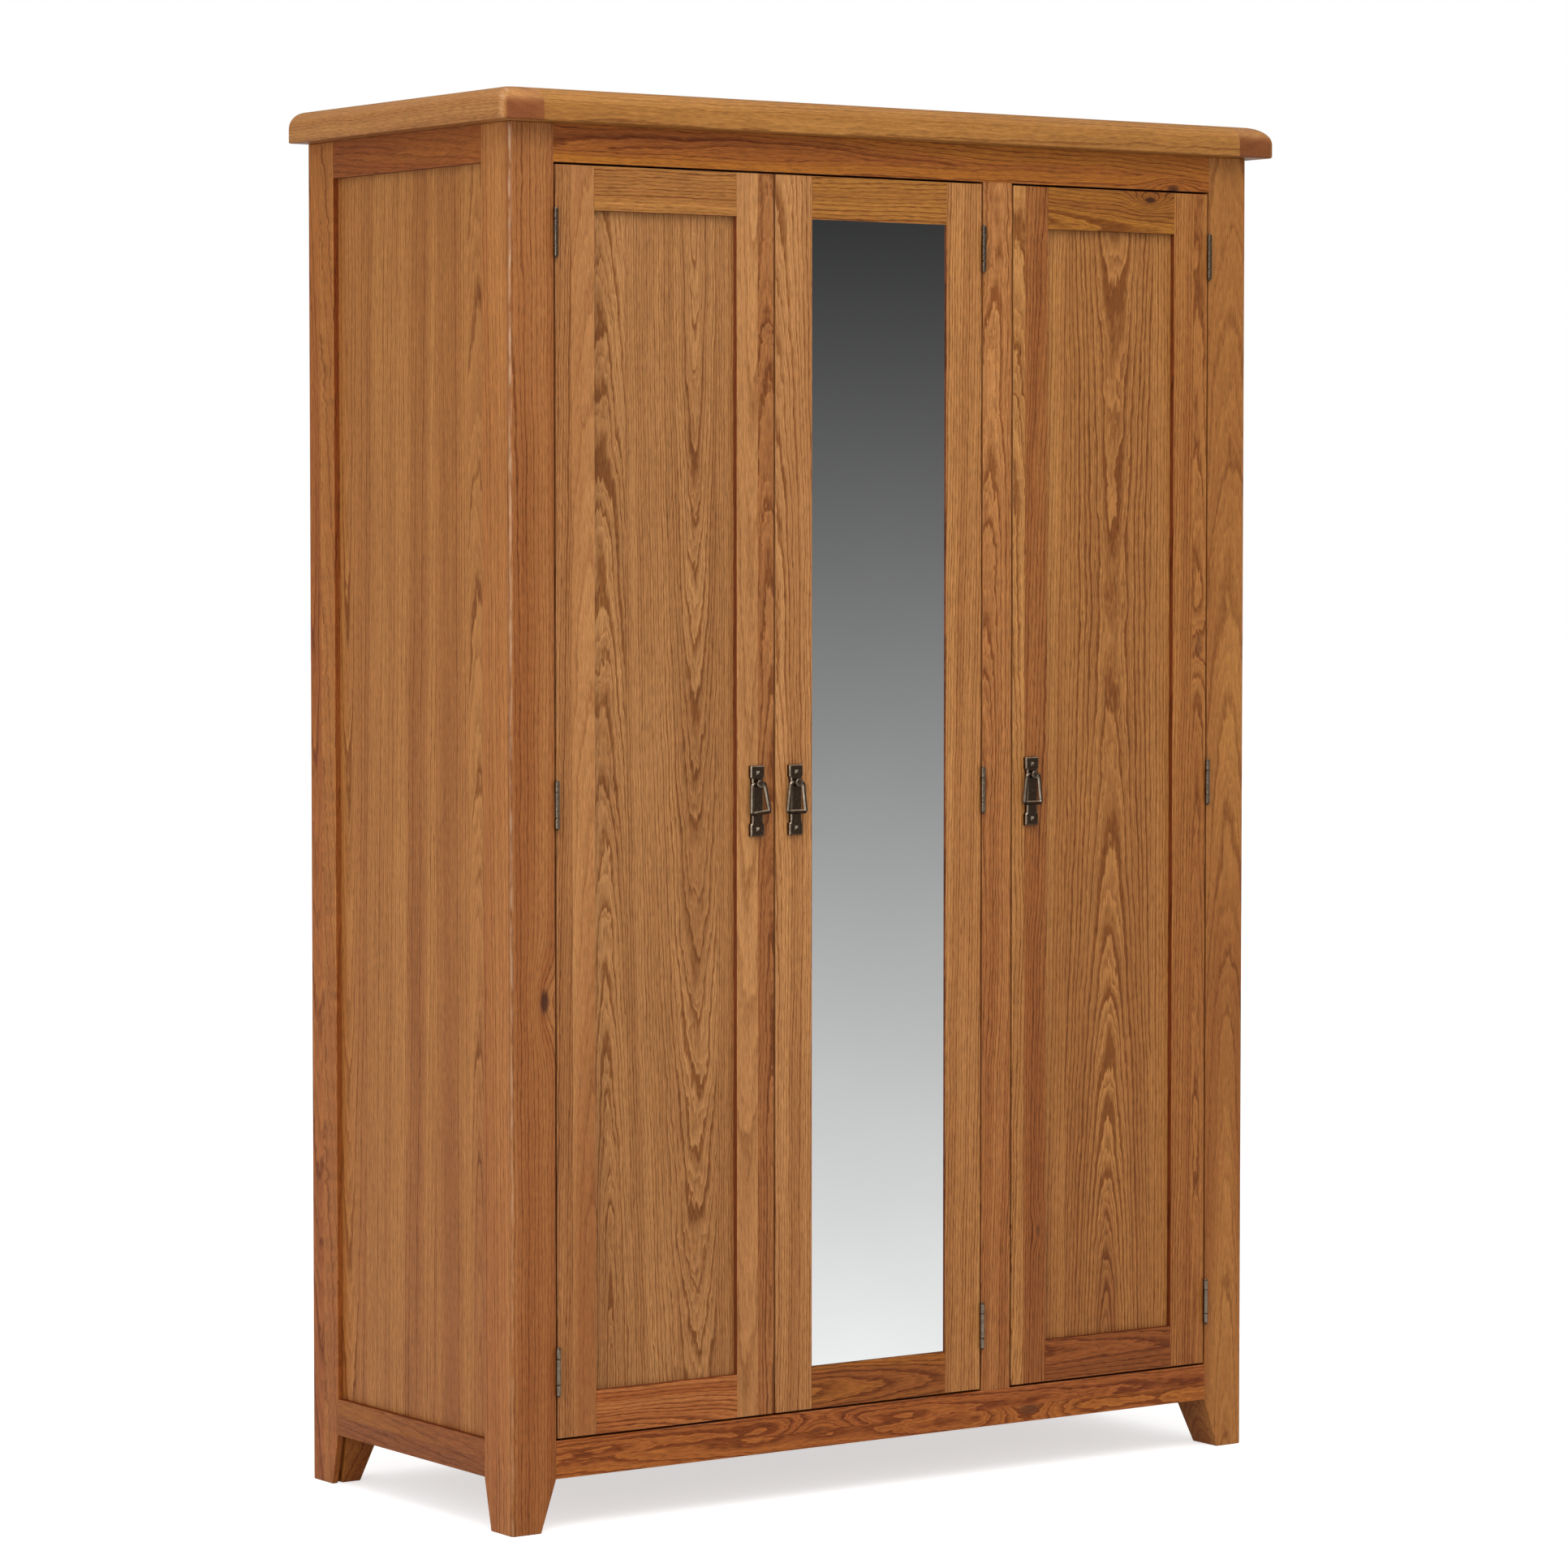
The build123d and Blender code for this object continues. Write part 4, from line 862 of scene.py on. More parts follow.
class WARDROBE_OT_top(PieceOperator, Operator):
    """Makes the top: a field with its rounded front, and an end board at each side"""

    bl_idname = "wardrobe.top"
    bl_label = "Top"

    def execute(self, context):
        sizes = settings("boards")
        low, high = box_of("top_end_left", "top_end_right")
        turn = np.linspace(0, QUARTER, 11)
        drawn = sizes.round_depth * (1 - np.cos(turn))
        level = high[2] - sizes.round_height * (1 - np.sin(turn))
        edge = (turn, drawn, level)
        end_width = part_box("top_end_left")[1].x - low[0]
        left, right = low[0] + end_width, high[0] - end_width
        self.add_field((left, *low[1:]), (right, *high[1:]), edge)
        self.add_end("top_end_left", -1, low, (left, *high[1:]), edge)
        self.add_end("top_end_right", 1, (right, *low[1:]), high, edge)
        return {"FINISHED"}

    def add_field(self, low, high, edge):
        """The front edge is an ellipse in section, carried from end board to end board."""
        sizes = settings("boards")
        turn, drawn, level = edge
        ellipse = np.stack([low[1] + drawn, level], 1)
        normal = np.stack([-np.cos(turn) / sizes.round_depth, np.sin(turn) / sizes.round_height], 1)
        corners = [(low[1], low[2]), (high[1], low[2]), (high[1], high[2]), (low[1], high[2])]
        radii = [sizes.top_arris, sizes.top_arris, sizes.arris, 0.01 * MM]
        points, normals = outline(corners, radii)
        keep = points.shape[1] // 4 * 3
        points = np.concatenate([points[0, :keep], ellipse[::-1]])
        normals = np.concatenate([normals[0, :keep], unit(normal)[::-1]])
        place, inset, tilt = eased_ends(low[0], high[0], sizes.joint)
        form = carried(points - inset[:, None, None] * normals, normals, place, tilt, 0)
        material = oak("top field oak", low, high, 0, *GRAIN["top_field"], across=1)
        add_piece("top_field_board", form, "carcass", material, "oak_top", "top_field")

    def add_end(self, node, side, low, high, edge):
        """Plan outline at each level, drawn in along the outer side and the front.

        The outline slides by the ellipse's depth, so its normal rises by
        tan(turn) * depth / height times how far the slide faces the normal.
        """
        sizes = settings("boards")
        steps = 6
        turn, drawn, level = edge
        corners = np.array([(low[0], low[1]), (high[0], low[1]), (high[0], high[1]), (low[0], high[1])])
        front_outer = 0 if side < 0 else 1
        outer = corners[front_outer, 0]
        radii = np.full(4, sizes.joint * 2)
        radii[front_outer] = sizes.top_corner
        plan, normals = outline(corners, radii, steps=steps)
        plan, normals = plan[0], normals[0]
        at_outer = np.abs(plan[:, 0] - outer) < (high[0] - low[0]) / 2
        at_front = plan[:, 1] < (low[1] + high[1]) / 2
        slide = np.stack([-side * at_outer, at_front], 1).astype(float)
        under = np.linspace(QUARTER, 0, 5)
        drawn = np.concatenate([sizes.top_arris * (1 - np.cos(under)), drawn])
        place = np.concatenate([low[2] + sizes.top_arris * (1 - np.sin(under)), level])
        # The turns stop short of a quarter here, where the tangent has no end.
        rise = np.concatenate([-np.tan(np.minimum(under, 1.5)),
                               np.tan(np.minimum(turn, 1.56)) * sizes.round_depth / sizes.round_height])
        # A pale ragged streak down the rounded front corner, partly lacquer gone and partly a painted
        # highlight; the end grain below the round-over is darker.
        at_corner = np.abs(plan - corners[front_outer]).sum(-1) < 2 * sizes.top_corner
        upright = np.cos(np.concatenate([under * 0, turn]))[:, None]
        rubbed_and_highlit = 0.6 * mid_arc(4, steps) * at_corner * np.minimum(1, 3 * upright)
        end_grain = 0.85 * np.abs(normals[:, 1]) ** 3 * np.clip(8 * upright - 7, 0, 1)
        form = carried(plan + drawn[:, None, None] * slide, normals, place, np.zeros(len(place)), 2,
                       slope=rise[:, None, None] * slide, wear=rubbed_and_highlit - end_grain)
        add_board(node, form, low, high, 1, slot="oak_top", across=0)


class WARDROBE_OT_posts(PieceOperator, Operator):
    """Makes the four corner posts, which taper to their feet"""

    bl_idname = "wardrobe.posts"
    bl_label = "Corner posts"

    def execute(self, context):
        for end, end_name in ((-1, "front"), (1, "back")):
            for side, side_name in ((-1, "left"), (1, "right")):
                groove = [box[0] for box in box_of("side_panel_" + side_name)]
                self.add_post(f"post_{end_name}_{side_name}", side, end, groove)
        return {"FINISHED"}

    def add_post(self, node, side, end, groove):
        """A rounded rectangle carried up the post; below the foot level its inner faces slide outwards."""
        sizes = settings("boards")
        low, high = box_of(node)
        outward = np.array([side, end])
        outer = np.where(outward < 0, low[:2], high[:2])
        inner = np.where(outward < 0, high[:2], low[:2])
        radii = np.full(4, sizes.arris)
        radii[CORNERS.index((side, end))] = sizes.post_corner
        if end < 0:
            cuts = {2: (high[0] - groove[1], high[0] - groove[0], TONGUE)}
        else:
            cuts = {0: (groove[0] - low[0], groove[1] - low[0], TONGUE)}
        corners, corner_radii = cut_corners(low[:2], high[:2], radii, cuts)
        blend = 2 * MM
        foot = sizes.foot_height
        place, inset, tilt = eased_ends(low[2], high[2], POST_EASE)
        middle = len(place) // 2
        place = np.insert(place, middle, [foot - blend, foot, foot + blend])
        inset, tilt = (np.insert(values, middle, [0, 0, 0]) for values in (inset, tilt))
        section, normals = outline(corners, corner_radii, inset, steps=5)
        full = np.abs(inner - outer)
        narrow = -outward * (full - np.array([sizes.foot_width, sizes.foot_depth]))
        at_inner = np.abs(section - outer) > full / 2
        section = section - at_inner * narrow * np.clip(1 - place / foot, 0, 1)[:, None, None]
        steep = np.where(place < foot - blend / 2, 1.0, np.where(place < foot + blend / 2, 0.5, 0.0))
        slope = at_inner * (narrow / foot) * steep[:, None, None]
        # A pale ragged streak down the outer corner and paler eased edges, partly lacquer gone and partly a
        # painted highlight; the groove walls darkened, partly staining and partly painted shade. Both fade
        # towards the floor.
        at_corner = 0.7 * (np.abs(section[len(place) // 2] - outer).sum(-1) < 1.5 * sizes.post_corner)
        rubbed_and_highlit = 1.15 * mid_arc(len(corners), 5) ** 2 * (0.3 + at_corner) + stain_and_shade(normals[0], cuts)
        fade = np.clip(0.35 + place / high[2], 0, 1)[:, None]
        form = carried(section, normals, place, tilt, 2, slope=slope, wear=rubbed_and_highlit * fade)
        add_board(node, form, low, high, 2, across=0, seam_axis="Y")


class WARDROBE_OT_rails(PieceOperator, Operator):
    """Makes the front rails, the mullion and the side rails"""

    bl_idname = "wardrobe.rails"
    bl_label = "Rails and mullion"

    def execute(self, context):
        left_high = box_of("post_front_left")[1]
        right_low = box_of("post_front_right")[0]
        back_low = box_of("post_back_left")[0]
        for node in ("front_rail_top", "front_rail_bottom"):
            low, high = box_of(node)
            low[0], high[0] = left_high[0], right_low[0]
            add_straight_board(node, low, high, 0)
        low, high = box_of("mullion")
        low[2] = box_of("front_rail_bottom")[1][2]
        high[2] = box_of("front_rail_top")[0][2]
        add_straight_board("mullion", low, high, 2)
        for side in ("left", "right"):
            start, stop = (box[0] for box in box_of("side_panel_" + side))
            for level in ("top", "bottom"):
                node = f"side_rail_{level}_{side}"
                low, high = box_of(node)
                low[1], high[1] = left_high[1], back_low[1]
                if level == "top":
                    cuts = {3: (high[0] - stop, high[0] - start, TONGUE)}
                else:
                    cuts = {1: (start - low[0], stop - low[0], TONGUE)}
                add_straight_board(node, low, high, 1, cuts=cuts)
        return {"FINISHED"}


class WARDROBE_OT_side_panels(PieceOperator, Operator):
    """Makes the sunk panels of the two sides"""

    bl_idname = "wardrobe.side_panels"
    bl_label = "Side panels"

    def execute(self, context):
        for node in ("side_panel_left", "side_panel_right"):
            add_straight_board(node, *box_of(node), 2, slot="oak_panel")
        return {"FINISHED"}


class WARDROBE_OT_doors(PieceOperator, Operator):
    """Makes the stiles, rails and panels of the three doors, and the mirror"""

    bl_idname = "wardrobe.doors"
    bl_label = "Doors"

    def execute(self, context):
        for name in DOORS:
            self.add_door(name)
        glass = board(*box_of("door_mirror_glass"), 2, 1 * MM, 1 * MM)
        add_piece("door_mirror_silver", glass, "door_mirror", mirror_glass(), "mirror",
                  "door_mirror_glass")
        return {"FINISHED"}

    def add_door(self, name):
        """Stiles run the full height; rails fit between them; each is grooved for what it holds."""
        body = "door_" + name
        infill = body + ("_glass" if name == "mirror" else "_panel")
        fill_low, fill_high = box_of(infill)
        stiles = {body + part: box_of(body + part) for part in ("_hinge_stile", "_lock_stile")}
        (left_low, left_high), (right_low, _) = sorted(stiles.values(), key=lambda box: box[0][0])
        front, back = left_low[1], left_high[1]
        reach = left_high[0] - fill_low[0] + 1 * MM
        start = fill_low[1] - front
        stop = (back if name == "mirror" else fill_high[1]) - front
        groove = (start, stop, reach)
        mirrored = (back - front - stop, back - front - start, reach)
        for node, (low, high) in stiles.items():
            cuts = {1: groove} if low[0] == left_low[0] else {3: mirrored}
            add_straight_board(node, low, high, 2, settings("boards").arris, cuts, body=body)
        for part, cuts in (("_rail_top", {0: groove}), ("_rail_bottom", {2: mirrored})):
            low, high = box_of(body + part)
            low[:2], high[:2] = (left_high[0], front), (right_low[0], back)
            add_straight_board(body + part, low, high, 0, cuts=cuts, body=body)
        if name != "mirror":
            add_straight_board(infill, fill_low, fill_high, 2, body=body, slot="oak_panel")


class WARDROBE_OT_handles(PieceOperator, Operator):
    """Makes the back plates with their nails, the studs and the hanging rings"""

    bl_idname = "wardrobe.handles"
    bl_label = "Handles"

    def execute(self, context):
        finish = settings("finish")
        bronze = metal("antique bronze", finish.bronze, finish.rubbed_and_highlit, 0.36)
        for name in DOORS:
            node, body = "handle_" + name, "door_" + name
            low, high = box_of(node + "_plate")
            middle, half = (low + high) / 2, (high - low)[[0, 2]] / 2
            middle[1] = box_of(body + "_lock_stile")[0][1]
            thick = middle[1] - low[1]
            plate = [self.plate(middle, half, thick)]
            plate += [self.nail(middle - (0, thick, 0), end * (half[1] - NAIL_FROM_END)) for end in (-1, 1)]
            stud = self.stud(middle, box_of(node + "_stud"), thick)
            ring = self.ring(middle, box_of(node + "_ring"), name == "left")
            add_piece(node + "_backplate", plate, body, bronze, "antique_metal", node + "_plate")
            add_piece(node + "_turned_stud", stud, body, bronze, "antique_metal", node + "_stud")
            add_piece(node + "_drop_ring", ring, "pull_" + name, bronze, "antique_metal", node + "_ring")
        return {"FINISHED"}

    def plate(self, middle, half, thick):
        """Outline of wide ends that step in to a waist, carried forwards and drawn in along its bevel."""
        sizes = settings("handles")
        wide, tall = half / MM
        waist = sizes.waist / 2 / MM
        hollow = waist + 0.2 * (wide - waist)
        right = np.array([(wide, -tall), (wide, -32.5), (hollow, -31.2), (waist, -27.5), (waist, 27.5),
                          (hollow, 31.2), (wide, 32.5), (wide, tall)])
        corners = np.concatenate([right, right[::-1] * (-1, 1)]) * MM
        radii = np.tile([0.5, 0.5, 1.4, 2.0, 2.0, 1.4, 0.5, 0.5], 2) * MM
        bevel = sizes.bevel / MM
        out = thick - np.array([thick / MM, bevel, bevel - 0.1, bevel - 0.25, 0.15, 0.03, 0.0]) * MM
        inset = np.array([0.0, 0.0, 0.04, 0.17, bevel - 0.17, bevel, bevel + 0.25]) * MM
        tilt = np.radians([0, 8, 30, 45, 48, 75, 90])
        # The bevel rows are made bright and the face stays dark: partly polish, partly a painted highlight.
        wear = np.array([0.0, 0.1, 0.85, 0.65, 0.65, 0.9, 0.05])
        return facing(*outline(corners, radii, inset), out, tilt, middle, wear[:, None])

    def nail(self, middle, up):
        """A low pyramid head: a square drawn in towards its point."""
        side = 3 * MM
        corners = side * np.array(CORNERS)
        inset = side * np.array([0.0, 0.05, 0.1, 0.5, 0.86, 0.93, 0.96])
        out = np.array([-0.2, 0.15, 0.35, 1.25, 2.0, 2.14, 2.2]) * MM
        tilt = np.radians([0, 20, 50, 54, 56, 75, 90])
        # The head brightens towards its point: partly polish, partly a painted highlight on its facets.
        wear = np.array([0.2, 0.5, 0.7, 0.85, 1.0, 1.0, 1.0])
        head = outline(corners, 0.35 * MM, inset, steps=2)
        return facing(*head, out, tilt, middle + (0, 0, up), wear[:, None])

    def stud(self, middle, box, seat):
        """A turned stud: neck, and a head whose rim is domed."""
        low, high = box
        reach = (middle[1] - low[1]) / MM
        head = reach - 3.2
        turn = np.linspace(0, QUARTER, 7)
        radius = [4.4, 4.4, 4.6, 5.7, *(5.9 - 2.0 * (1 - np.cos(turn))), 2.8, 1.0, 0.1]
        out = [seat / MM - 0.1, head - 0.4, head, head + 0.1, *(reach - 1.35 + 1.2 * np.sin(turn)),
               reach - 0.07, reach - 0.02, reach]
        # The head's rim is made brighter than its face: partly polish, partly a painted highlight.
        wear = [0, 0.1, 0.2, 0.4, *np.linspace(0.5, 0.35, 7), 0.1, 0.08, 0.08]
        centre = (middle[0], middle[1], (low[2] + high[2]) / 2)
        return turned(np.array(radius) * MM, np.array(out) * MM, centre, 1, flip=-1, wear=wear)

    def ring(self, middle, box, askew):
        """A bevelled bar carried round a trapezium, and the pin on which it swings.

        The path is the outer outline, open at the stud. A point lies w inside it and t along the depth
        axis, where (w, t) runs round the bar's bevelled section.
        """
        sizes = settings("handles")
        low, high = box
        bar, cut = sizes.ring_bar, sizes.ring_bevel
        pivot = np.array([middle[0], (low[1] + high[1]) / 2, high[2] - bar / 2])
        top, bottom = bar / 2, bar / 2 - (high[2] - low[2])
        half_top, half_bottom = sizes.ring_top / 2, (high[0] - low[0]) / 2
        corners = [(-half_top, top), (-half_bottom, bottom), (half_bottom, bottom), (half_top, top)]
        path, path_normals = outline(corners, np.array([6.0, 5.5, 5.5, 6.0]) * MM, steps=8)
        path = np.concatenate([[(-RING_GAP, top)], path[0], [(RING_GAP, top)]])
        path_normals = np.concatenate([[(0, 1)], path_normals[0], [(0, 1)]])
        depth = (high[1] - low[1]) / 2
        bevelled = [(cut, -depth), (bar - cut, -depth), (bar, -depth + cut), (bar, depth - cut),
                    (bar - cut, depth), (cut, depth), (0, depth - cut), (0, -depth + cut)]
        (width, thick), (inward, ahead) = (part[0].T for part in outline(bevelled, 0.3 * MM, steps=2))
        points = with_depth(path[:, None] - width[:, None] * path_normals[:, None], thick)
        normals = with_depth(-inward[:, None] * path_normals[:, None], ahead)
        if askew:
            lean = sizes.ring_swing
            turn = np.array([(math.cos(lean), 0, -math.sin(lean)), (0, 1, 0),
                             (math.sin(lean), 0, math.cos(lean))])
            points, normals = points @ turn.T, normals @ turn.T
        # Brightness round the bar's section, partly polish and partly painted highlight on the bevels: its
        # face and inner bevel, then the sides that hands leave alone.
        front = [0.45, 0.2, 0.08, 0.08, 0.75, 0.95, 0.95, 0.7, 0.15]
        hidden = [0.1, 0.3, 0.4, 0.4, 0.2, 0.05, 0.05, 0.2, 0.4, 0.4, 0.2, 0.05, 0.05, 0.15, 0.4]
        # The bottom bar gets less painted highlight, as its upturned bevels already catch the light from
        # above.
        low_bar = np.where(path_normals[:, 1] < -0.7, 0.55, 1.0)
        loop = closed_grid(points, normals, low_bar[:, None] * np.array(front + hidden))
        pin = turned([2 * MM] * 2, [-RING_GAP - cut, RING_GAP + cut], pivot, 0, count=20)
        return [moved(loop, pivot), pin]


class WARDROBE_OT_hinges(PieceOperator, Operator):
    """Makes the leaves, knuckles, pins and screws of the nine hinges"""

    bl_idname = "wardrobe.hinges"
    bl_label = "Hinges"

    def execute(self, context):
        finish = settings("finish")
        pewter = metal("hinge bronze", finish.bronze, finish.rubbed_and_highlit, 0.28, bump=0.04)
        frame_forms, pin_forms, screw_forms = [], [], []
        for name in DOORS:
            body = "door_" + name
            low, high = box_of(body + "_hinge_leaves")
            stile_low, stile_high = box_of(body + "_hinge_stile")
            at_left = stile_low[0] < box_of(body + "_lock_stile")[0][0]
            toward = 1 if at_left else -1
            pin_x = (stile_low[0] if at_left else stile_high[0]) - toward * DOOR_GAP / 2
            door_forms, door_screws = [], []
            for level in (low[2] + LEAF_HALF, (low[2] + high[2]) / 2, high[2] - LEAF_HALF):
                where = (pin_x, low[1] + PIN_BEHIND, stile_low[1], level)
                door_forms += self.leaf(where, toward, [(-17.5, 17.5)])
                frame_forms += self.leaf(where, -toward, [(-32.0, -17.8), (17.8, 32.0)])
                door_screws += self.screws(where, toward)
                screw_forms += self.screws(where, -toward)
                pin_forms.append(self.pin(where))
            self.add_leaves(body, body, door_forms, door_screws, pewter)
        self.add_leaves("frame", "carcass", frame_forms, screw_forms, pewter)
        add_piece("hinge_pin_rods", pin_forms, "carcass", pewter, "antique_metal", "hinge_pins")
        return {"FINISHED"}

    def add_leaves(self, owner, body, leaves, screws, pewter):
        """The leaves and screws on one side of the pins: a door's, or the frame's."""
        add_piece(owner + "_hinge_butts", leaves, body, pewter, "antique_metal", owner + "_hinge_leaves")
        add_piece(owner + "_hinge_screw_heads", screws, body, pewter, "antique_metal",
                  owner + "_hinge_screws")

    def leaf(self, where, toward, knuckles):
        """A thin leaf with knuckles: barrels whose rims are eased."""
        x, y, front, level = where
        count = 28
        near, far = sorted((x + toward * LEAF_FACE, x + toward * (LEAF_FACE + LEAF_THICK)))
        forms = [board((near, front - 0.2 * MM, level - LEAF_HALF),
                       (far, front + LEAF_WIDTH, level + LEAF_HALF), 2, 0.3 * MM, 0.3 * MM)]
        # The knuckles are painted brighter on the side facing the front, a painted highlight, fading towards
        # each end of a knuckle.
        rim = np.array([0.0, 0.0, 0.2, 0.9, 1.0, 1.0, 0.9, 0.2, 0.0, 0.0])[:, None]
        highlit_side = np.clip(np.cos(np.arange(count) * math.pi / 14 + 1.9), 0, 1)
        wear = rim * (0.04 + 0.45 * highlit_side ** 2)
        for low, high in (level + np.array(knuckles) * MM):
            place, inset, tilt = eased_ends(low, high, 0.8 * MM, steps=4)
            barrel = carried(*circle(KNUCKLE_RADIUS, inset, count), place, tilt, 2, wear=wear)
            strap = board((near, y, low), (far, front + 1 * MM, high), 2, 0.2 * MM, 0.2 * MM)
            forms += [moved(barrel, (x, y, 0)), strap]
        return forms

    def screws(self, where, toward):
        """Three countersunk heads: shallow domes with a recess pressed in."""
        x, _, front, level = where
        radius = np.array([3.0, 3.0, 2.9, 2.4, 1.2, 1.0, 0.3]) * MM
        out = np.array([-0.8, 0.0, 0.03, 0.07, 0.09, -0.25, -0.4]) * MM
        wear = [0.2, 0.6, 1.0, 0.8, 0.7, 0.0, 0.0]
        face = x + toward * LEAF_FACE
        return [turned(radius, out, (face, front + LEAF_WIDTH / 2, level + step), 0, -toward, 20, wear)
                for step in (-22 * MM, 0, 22 * MM)]

    def pin(self, where):
        """The rod and its rounded caps."""
        x, y, _, level = where
        rod, cap, half = 1.6 * MM, 2.5 * MM, LEAF_HALF
        turn = np.linspace(0, QUARTER, 6)
        dome = cap - 1.6 * MM * (1 - np.cos(turn))
        rise = half + 0.4 * MM + 1.6 * MM * np.sin(turn)
        radius = np.concatenate([dome[::-1], [cap, rod, rod, cap], dome])
        place = np.concatenate([-rise[::-1], [-half, 0.1 * MM - half, half - 0.1 * MM, half], rise])
        return turned(radius, place, (x, y, level), 2, count=24, wear=0.45)


class WARDROBE_OT_inside(PieceOperator, Operator):
    """Finishes the shelves, partition, floor, back and the hanging rail"""

    bl_idname = "wardrobe.inside"
    bl_label = "Inside and back"

    kept_boards = {
        # node: (grain axis, face axis, staves across, light, heart)
        "partition": (2, 1, 5, 0.98, 0.25),
        "floor_board": (0, 1, 5, 0.98, 0.3),
        "hat_shelf": (0, 1, 5, 1.0, 0.25),
        "shelves": (0, 1, 5, 1.0, 0.25),
        "shelf_cleats": (1, 2, 1, 0.98, 0.3),
        "back_rails": (0, 2, 2, 0.95, 0.4),
    }

    def execute(self, context):
        for index, (node, (grain, across, *look)) in enumerate(self.kept_boards.items()):
            low, high = box_of(node)
            width = (high - low)[across]
            self.dress(node, plain_oak(node + " oak", node, grain, across, width, 101 + index * 7, *look))
        # Each of the twelve back boards is one stave, so the seams fall on the tongued joints.
        bay = 2 * abs(box_of("post_back_left")[1][0])
        back_oak = plain_oak("back boards oak", "back_boards", 2, 0, bay, 151, 12, 0.97, 0.3)
        self.dress("back_boards", back_oak)
        self.dress("door_mirror_backing", backing_card())
        self.dress("door_catches", catch_plastic())
        self.add_pole()
        return {"FINISHED"}

    def dress(self, node, material):
        """Gives a kept CAD node its material."""
        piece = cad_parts[node]
        piece.data.materials.clear()
        piece.data.materials.append(material)

    def add_pole(self):
        """A turned pole between two flanged cups."""
        bright = settings("finish").steel
        steel = metal("plated steel", [0.8 * value for value in bright], bright, 0.24, bump=0.04)
        low, high = box_of("hanging_rail")
        middle = (low + high) / 2
        place, inset, tilt = eased_ends(low[0], high[0], 0.8 * MM, steps=4)
        pole = carried(*circle((high[2] - low[2]) / 2, inset, 48), place, tilt, 0)
        add_piece("hanging_pole", moved(pole, (0, *middle[1:])), "carcass", steel, "steel", "hanging_rail")
        low, high = box_of("rail_sockets")
        radius = np.array([27, 27, 26.6, 25.5, 18.4, 17.6, 17.3, 17.3, 17.0, 16.4, 14.35, 14.35]) * MM
        out = np.array([0, 2.2, 2.7, 3.0, 3.1, 3.6, 5.0, 16.2, 16.7, 17.0, 17.0, 12.0]) * MM
        wear = [0.3, 0.9, 1, 0.6, 0.3, 0.3, 0.4, 0.6, 1, 0.8, 0.2, 0.0]
        cups = [turned(radius, out, (face, *middle[1:]), 0, side, 48, wear)
                for side, face in ((1, low[0]), (-1, high[0]))]
        add_piece("hanging_pole_sockets", cups, "carcass", steel, "steel", "rail_sockets")


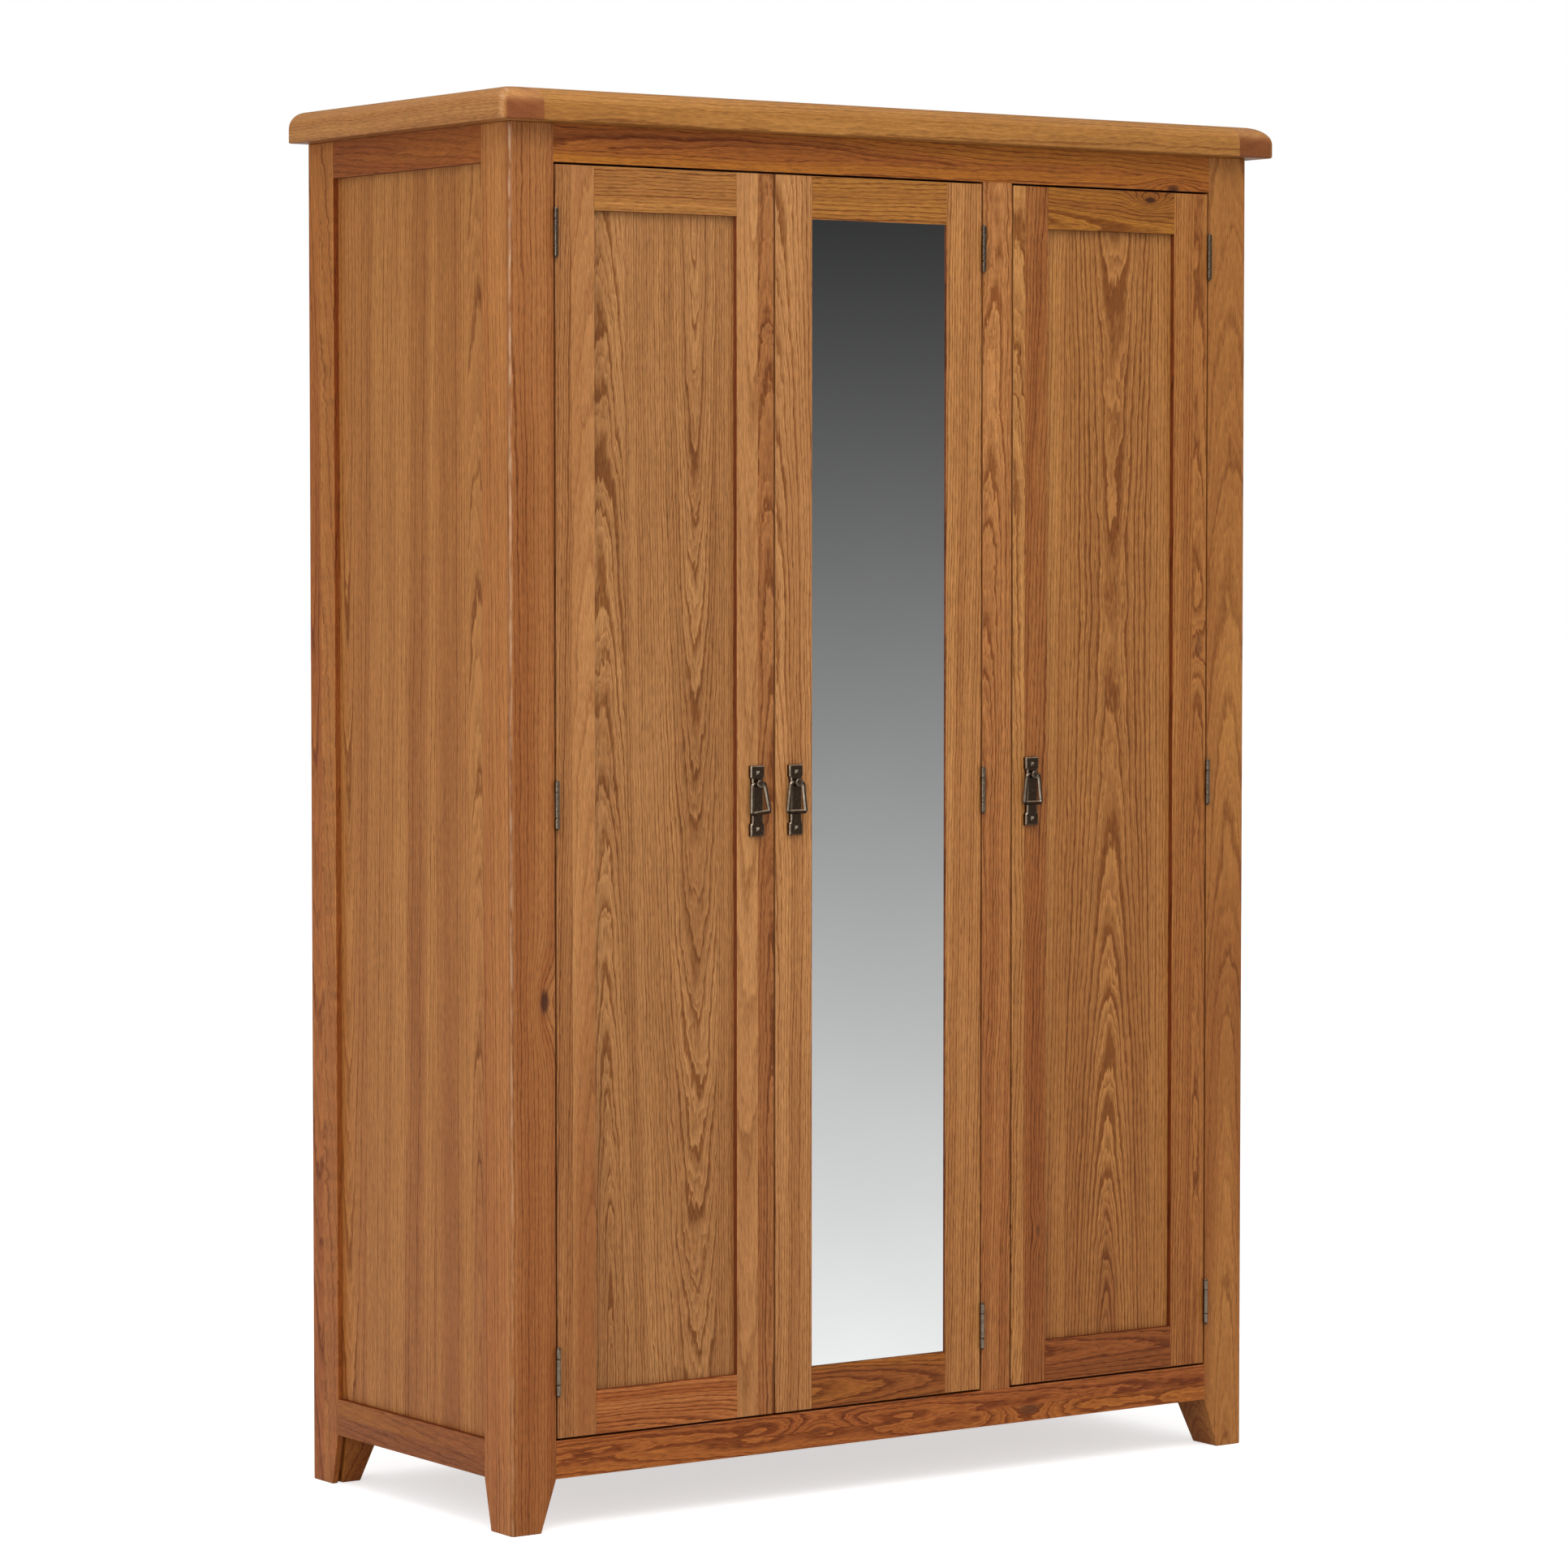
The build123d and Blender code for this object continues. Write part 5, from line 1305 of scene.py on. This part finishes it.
class WARDROBE_OT_studio(PieceOperator, Operator):
    """Makes the pale floor, the soft lights and the camera"""

    bl_idname = "wardrobe.studio"
    bl_label = "Studio"

    def execute(self, context):
        studio = settings("studio")
        context.scene.view_settings.view_transform = "Standard"
        self.add_floor()
        self.add_world(studio)
        self.add_light("key light", (-1.2, -2.6, 4.6), (0.0, 0.0, 0.9), (3.2, 3.2), studio.key)
        self.add_light("side strip", (-4.2, -2.4, 1.5), (0.0, -0.2, 1.0), (0.5, 2.6), studio.side)
        camera = bpy.data.cameras.new("camera")
        camera.lens = studio.lens
        camera.sensor_width = 36
        camera.clip_end = 200
        context.scene.camera = self.hold("camera", camera, studio.camera_place, studio.camera_turn)
        return {"FINISHED"}

    def hold(self, name, data, place, turn):
        """An object that holds a light or a camera at its place."""
        holder = bpy.data.objects.new(name, data)
        holder.location = place
        holder.rotation_euler = turn
        bpy.context.scene.collection.objects.link(holder)
        return holder

    def add_light(self, name, place, target, size, power):
        light = bpy.data.lights.new(name, "AREA")
        light.shape = "RECTANGLE"
        light.size, light.size_y = size
        light.energy = power
        aim = (Vector(target) - Vector(place)).to_track_quat("-Z", "Y").to_euler()
        self.hold(name, light, place, aim)

    def add_floor(self):
        """A wide level sheet of square faces."""
        half, count = 40, 41
        span = np.linspace(-half, half, count)
        points = np.stack([*np.meshgrid(span, span, indexing="ij"), np.zeros((count, count))], -1)
        index = np.arange(count * count).reshape(count, count)
        quads = np.stack([index[:-1, :-1], index[1:, :-1], index[1:, 1:], index[:-1, 1:]], -1)
        mesh = bpy.data.meshes.new("floor")
        mesh.from_pydata(points.reshape(-1, 3).tolist(), [], quads.reshape(-1, 4).tolist())
        mesh.materials.append(self.floor_paint())
        floor = bpy.data.objects.new("floor", mesh)
        bpy.context.scene.collection.objects.link(floor)
        floor.visible_glossy = False

    def floor_paint(self):
        """Pale matt paint that glows a little to the camera, so it is white where no shadow lies."""
        material, graph, shader, place = new_material("floor paint")
        grit = graph.noise(place, 40.0, 3.0)["Fac"]
        coat(graph, shader, graph.blend(grit, (0.80, 0.80, 0.80), (0.84, 0.84, 0.84)), 0.9)
        shader["Specular IOR Level"].default_value = 0.0
        shader["Emission Color"].default_value = (1, 1, 1, 1)
        path = graph.node("ShaderNodeLightPath").outputs
        seen = graph.maths("MAXIMUM", path["Is Camera Ray"], path["Is Transmission Ray"])
        graph.feed(shader["Emission Strength"], graph.times(seen, 0.6))
        return material

    def add_world(self, studio):
        """Even light; white to the camera; to glossy rays a studio that pales to the floor and overhead."""
        world = bpy.data.worlds.new("studio")
        bpy.context.scene.world = world
        world.use_nodes = True
        graph = Graph(world.node_tree)
        graph.tree.nodes.clear()
        path = graph.node("ShaderNodeLightPath").outputs
        height = graph.split(graph.node("ShaderNodeTexCoord").outputs["Generated"])["Z"]
        pale = graph.remap(height, *studio.pale_slope, *studio.pale_tone)
        pale = graph.times(pale, graph.remap(height, -0.6, -0.2, 0.25, 1.0))
        pale = graph.maths("MAXIMUM", pale, graph.remap(height, 0.2, 0.7, 0.0, studio.overhead_tone))
        seen = graph.maths("MAXIMUM", path["Is Camera Ray"], path["Is Transmission Ray"])
        glossy = graph.node("ShaderNodeBackground", {"Strength": graph.maths("POWER", pale, 2.2)})
        even, white = (graph.node("ShaderNodeBackground", {"Color": (1, 1, 1), "Strength": strength})
                       for strength in (studio.sky, 1.0))
        inputs = {0: path["Is Glossy Ray"], 1: even.outputs[0], 2: glossy.outputs[0]}
        unseen = graph.node("ShaderNodeMixShader", inputs).outputs[0]
        mixed = graph.node("ShaderNodeMixShader", {0: seen, 1: unseen, 2: white.outputs[0]})
        graph.node("ShaderNodeOutputWorld", {"Surface": mixed.outputs[0]})


GROUPS = {
    "boards": WardrobeBoards,
    "handles": WardrobeHandles,
    "finish": WardrobeFinish,
    "studio": WardrobeStudio,
}
STEPS = (
    WARDROBE_OT_patterns, WARDROBE_OT_top, WARDROBE_OT_posts, WARDROBE_OT_rails, WARDROBE_OT_side_panels,
    WARDROBE_OT_doors, WARDROBE_OT_handles, WARDROBE_OT_hinges, WARDROBE_OT_inside, WARDROBE_OT_studio,
)


class WARDROBE_PT_panel(Panel):
    """Lists the pieces and their sizes"""

    bl_idname = "WARDROBE_PT_panel"
    bl_label = "Wardrobe"
    bl_space_type = "VIEW_3D"
    bl_region_type = "UI"
    bl_category = "Wardrobe"

    def draw(self, context):
        column = self.layout.column(align=True)
        for step in STEPS:
            column.operator(step.bl_idname)
        for name in GROUPS:
            group = settings(name)
            box = self.layout.box()
            for key in group.bl_rna.properties.keys():
                if key not in ("rna_type", "name"):
                    box.prop(group, key)


def register():
    for kind in (*GROUPS.values(), *STEPS, WARDROBE_PT_panel):
        bpy.utils.register_class(kind)
    for name, kind in GROUPS.items():
        setattr(bpy.types.Scene, "wardrobe_" + name, PointerProperty(type=kind))


def unregister():
    for name in GROUPS:
        delattr(bpy.types.Scene, "wardrobe_" + name)
    for kind in (WARDROBE_PT_panel, *reversed(STEPS), *reversed(GROUPS.values())):
        bpy.utils.unregister_class(kind)


def main():
    register()
    for step in STEPS:
        area, name = step.bl_idname.split(".")
        getattr(getattr(bpy.ops, area), name)()
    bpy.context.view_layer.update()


if __name__ == "__main__":
    main()
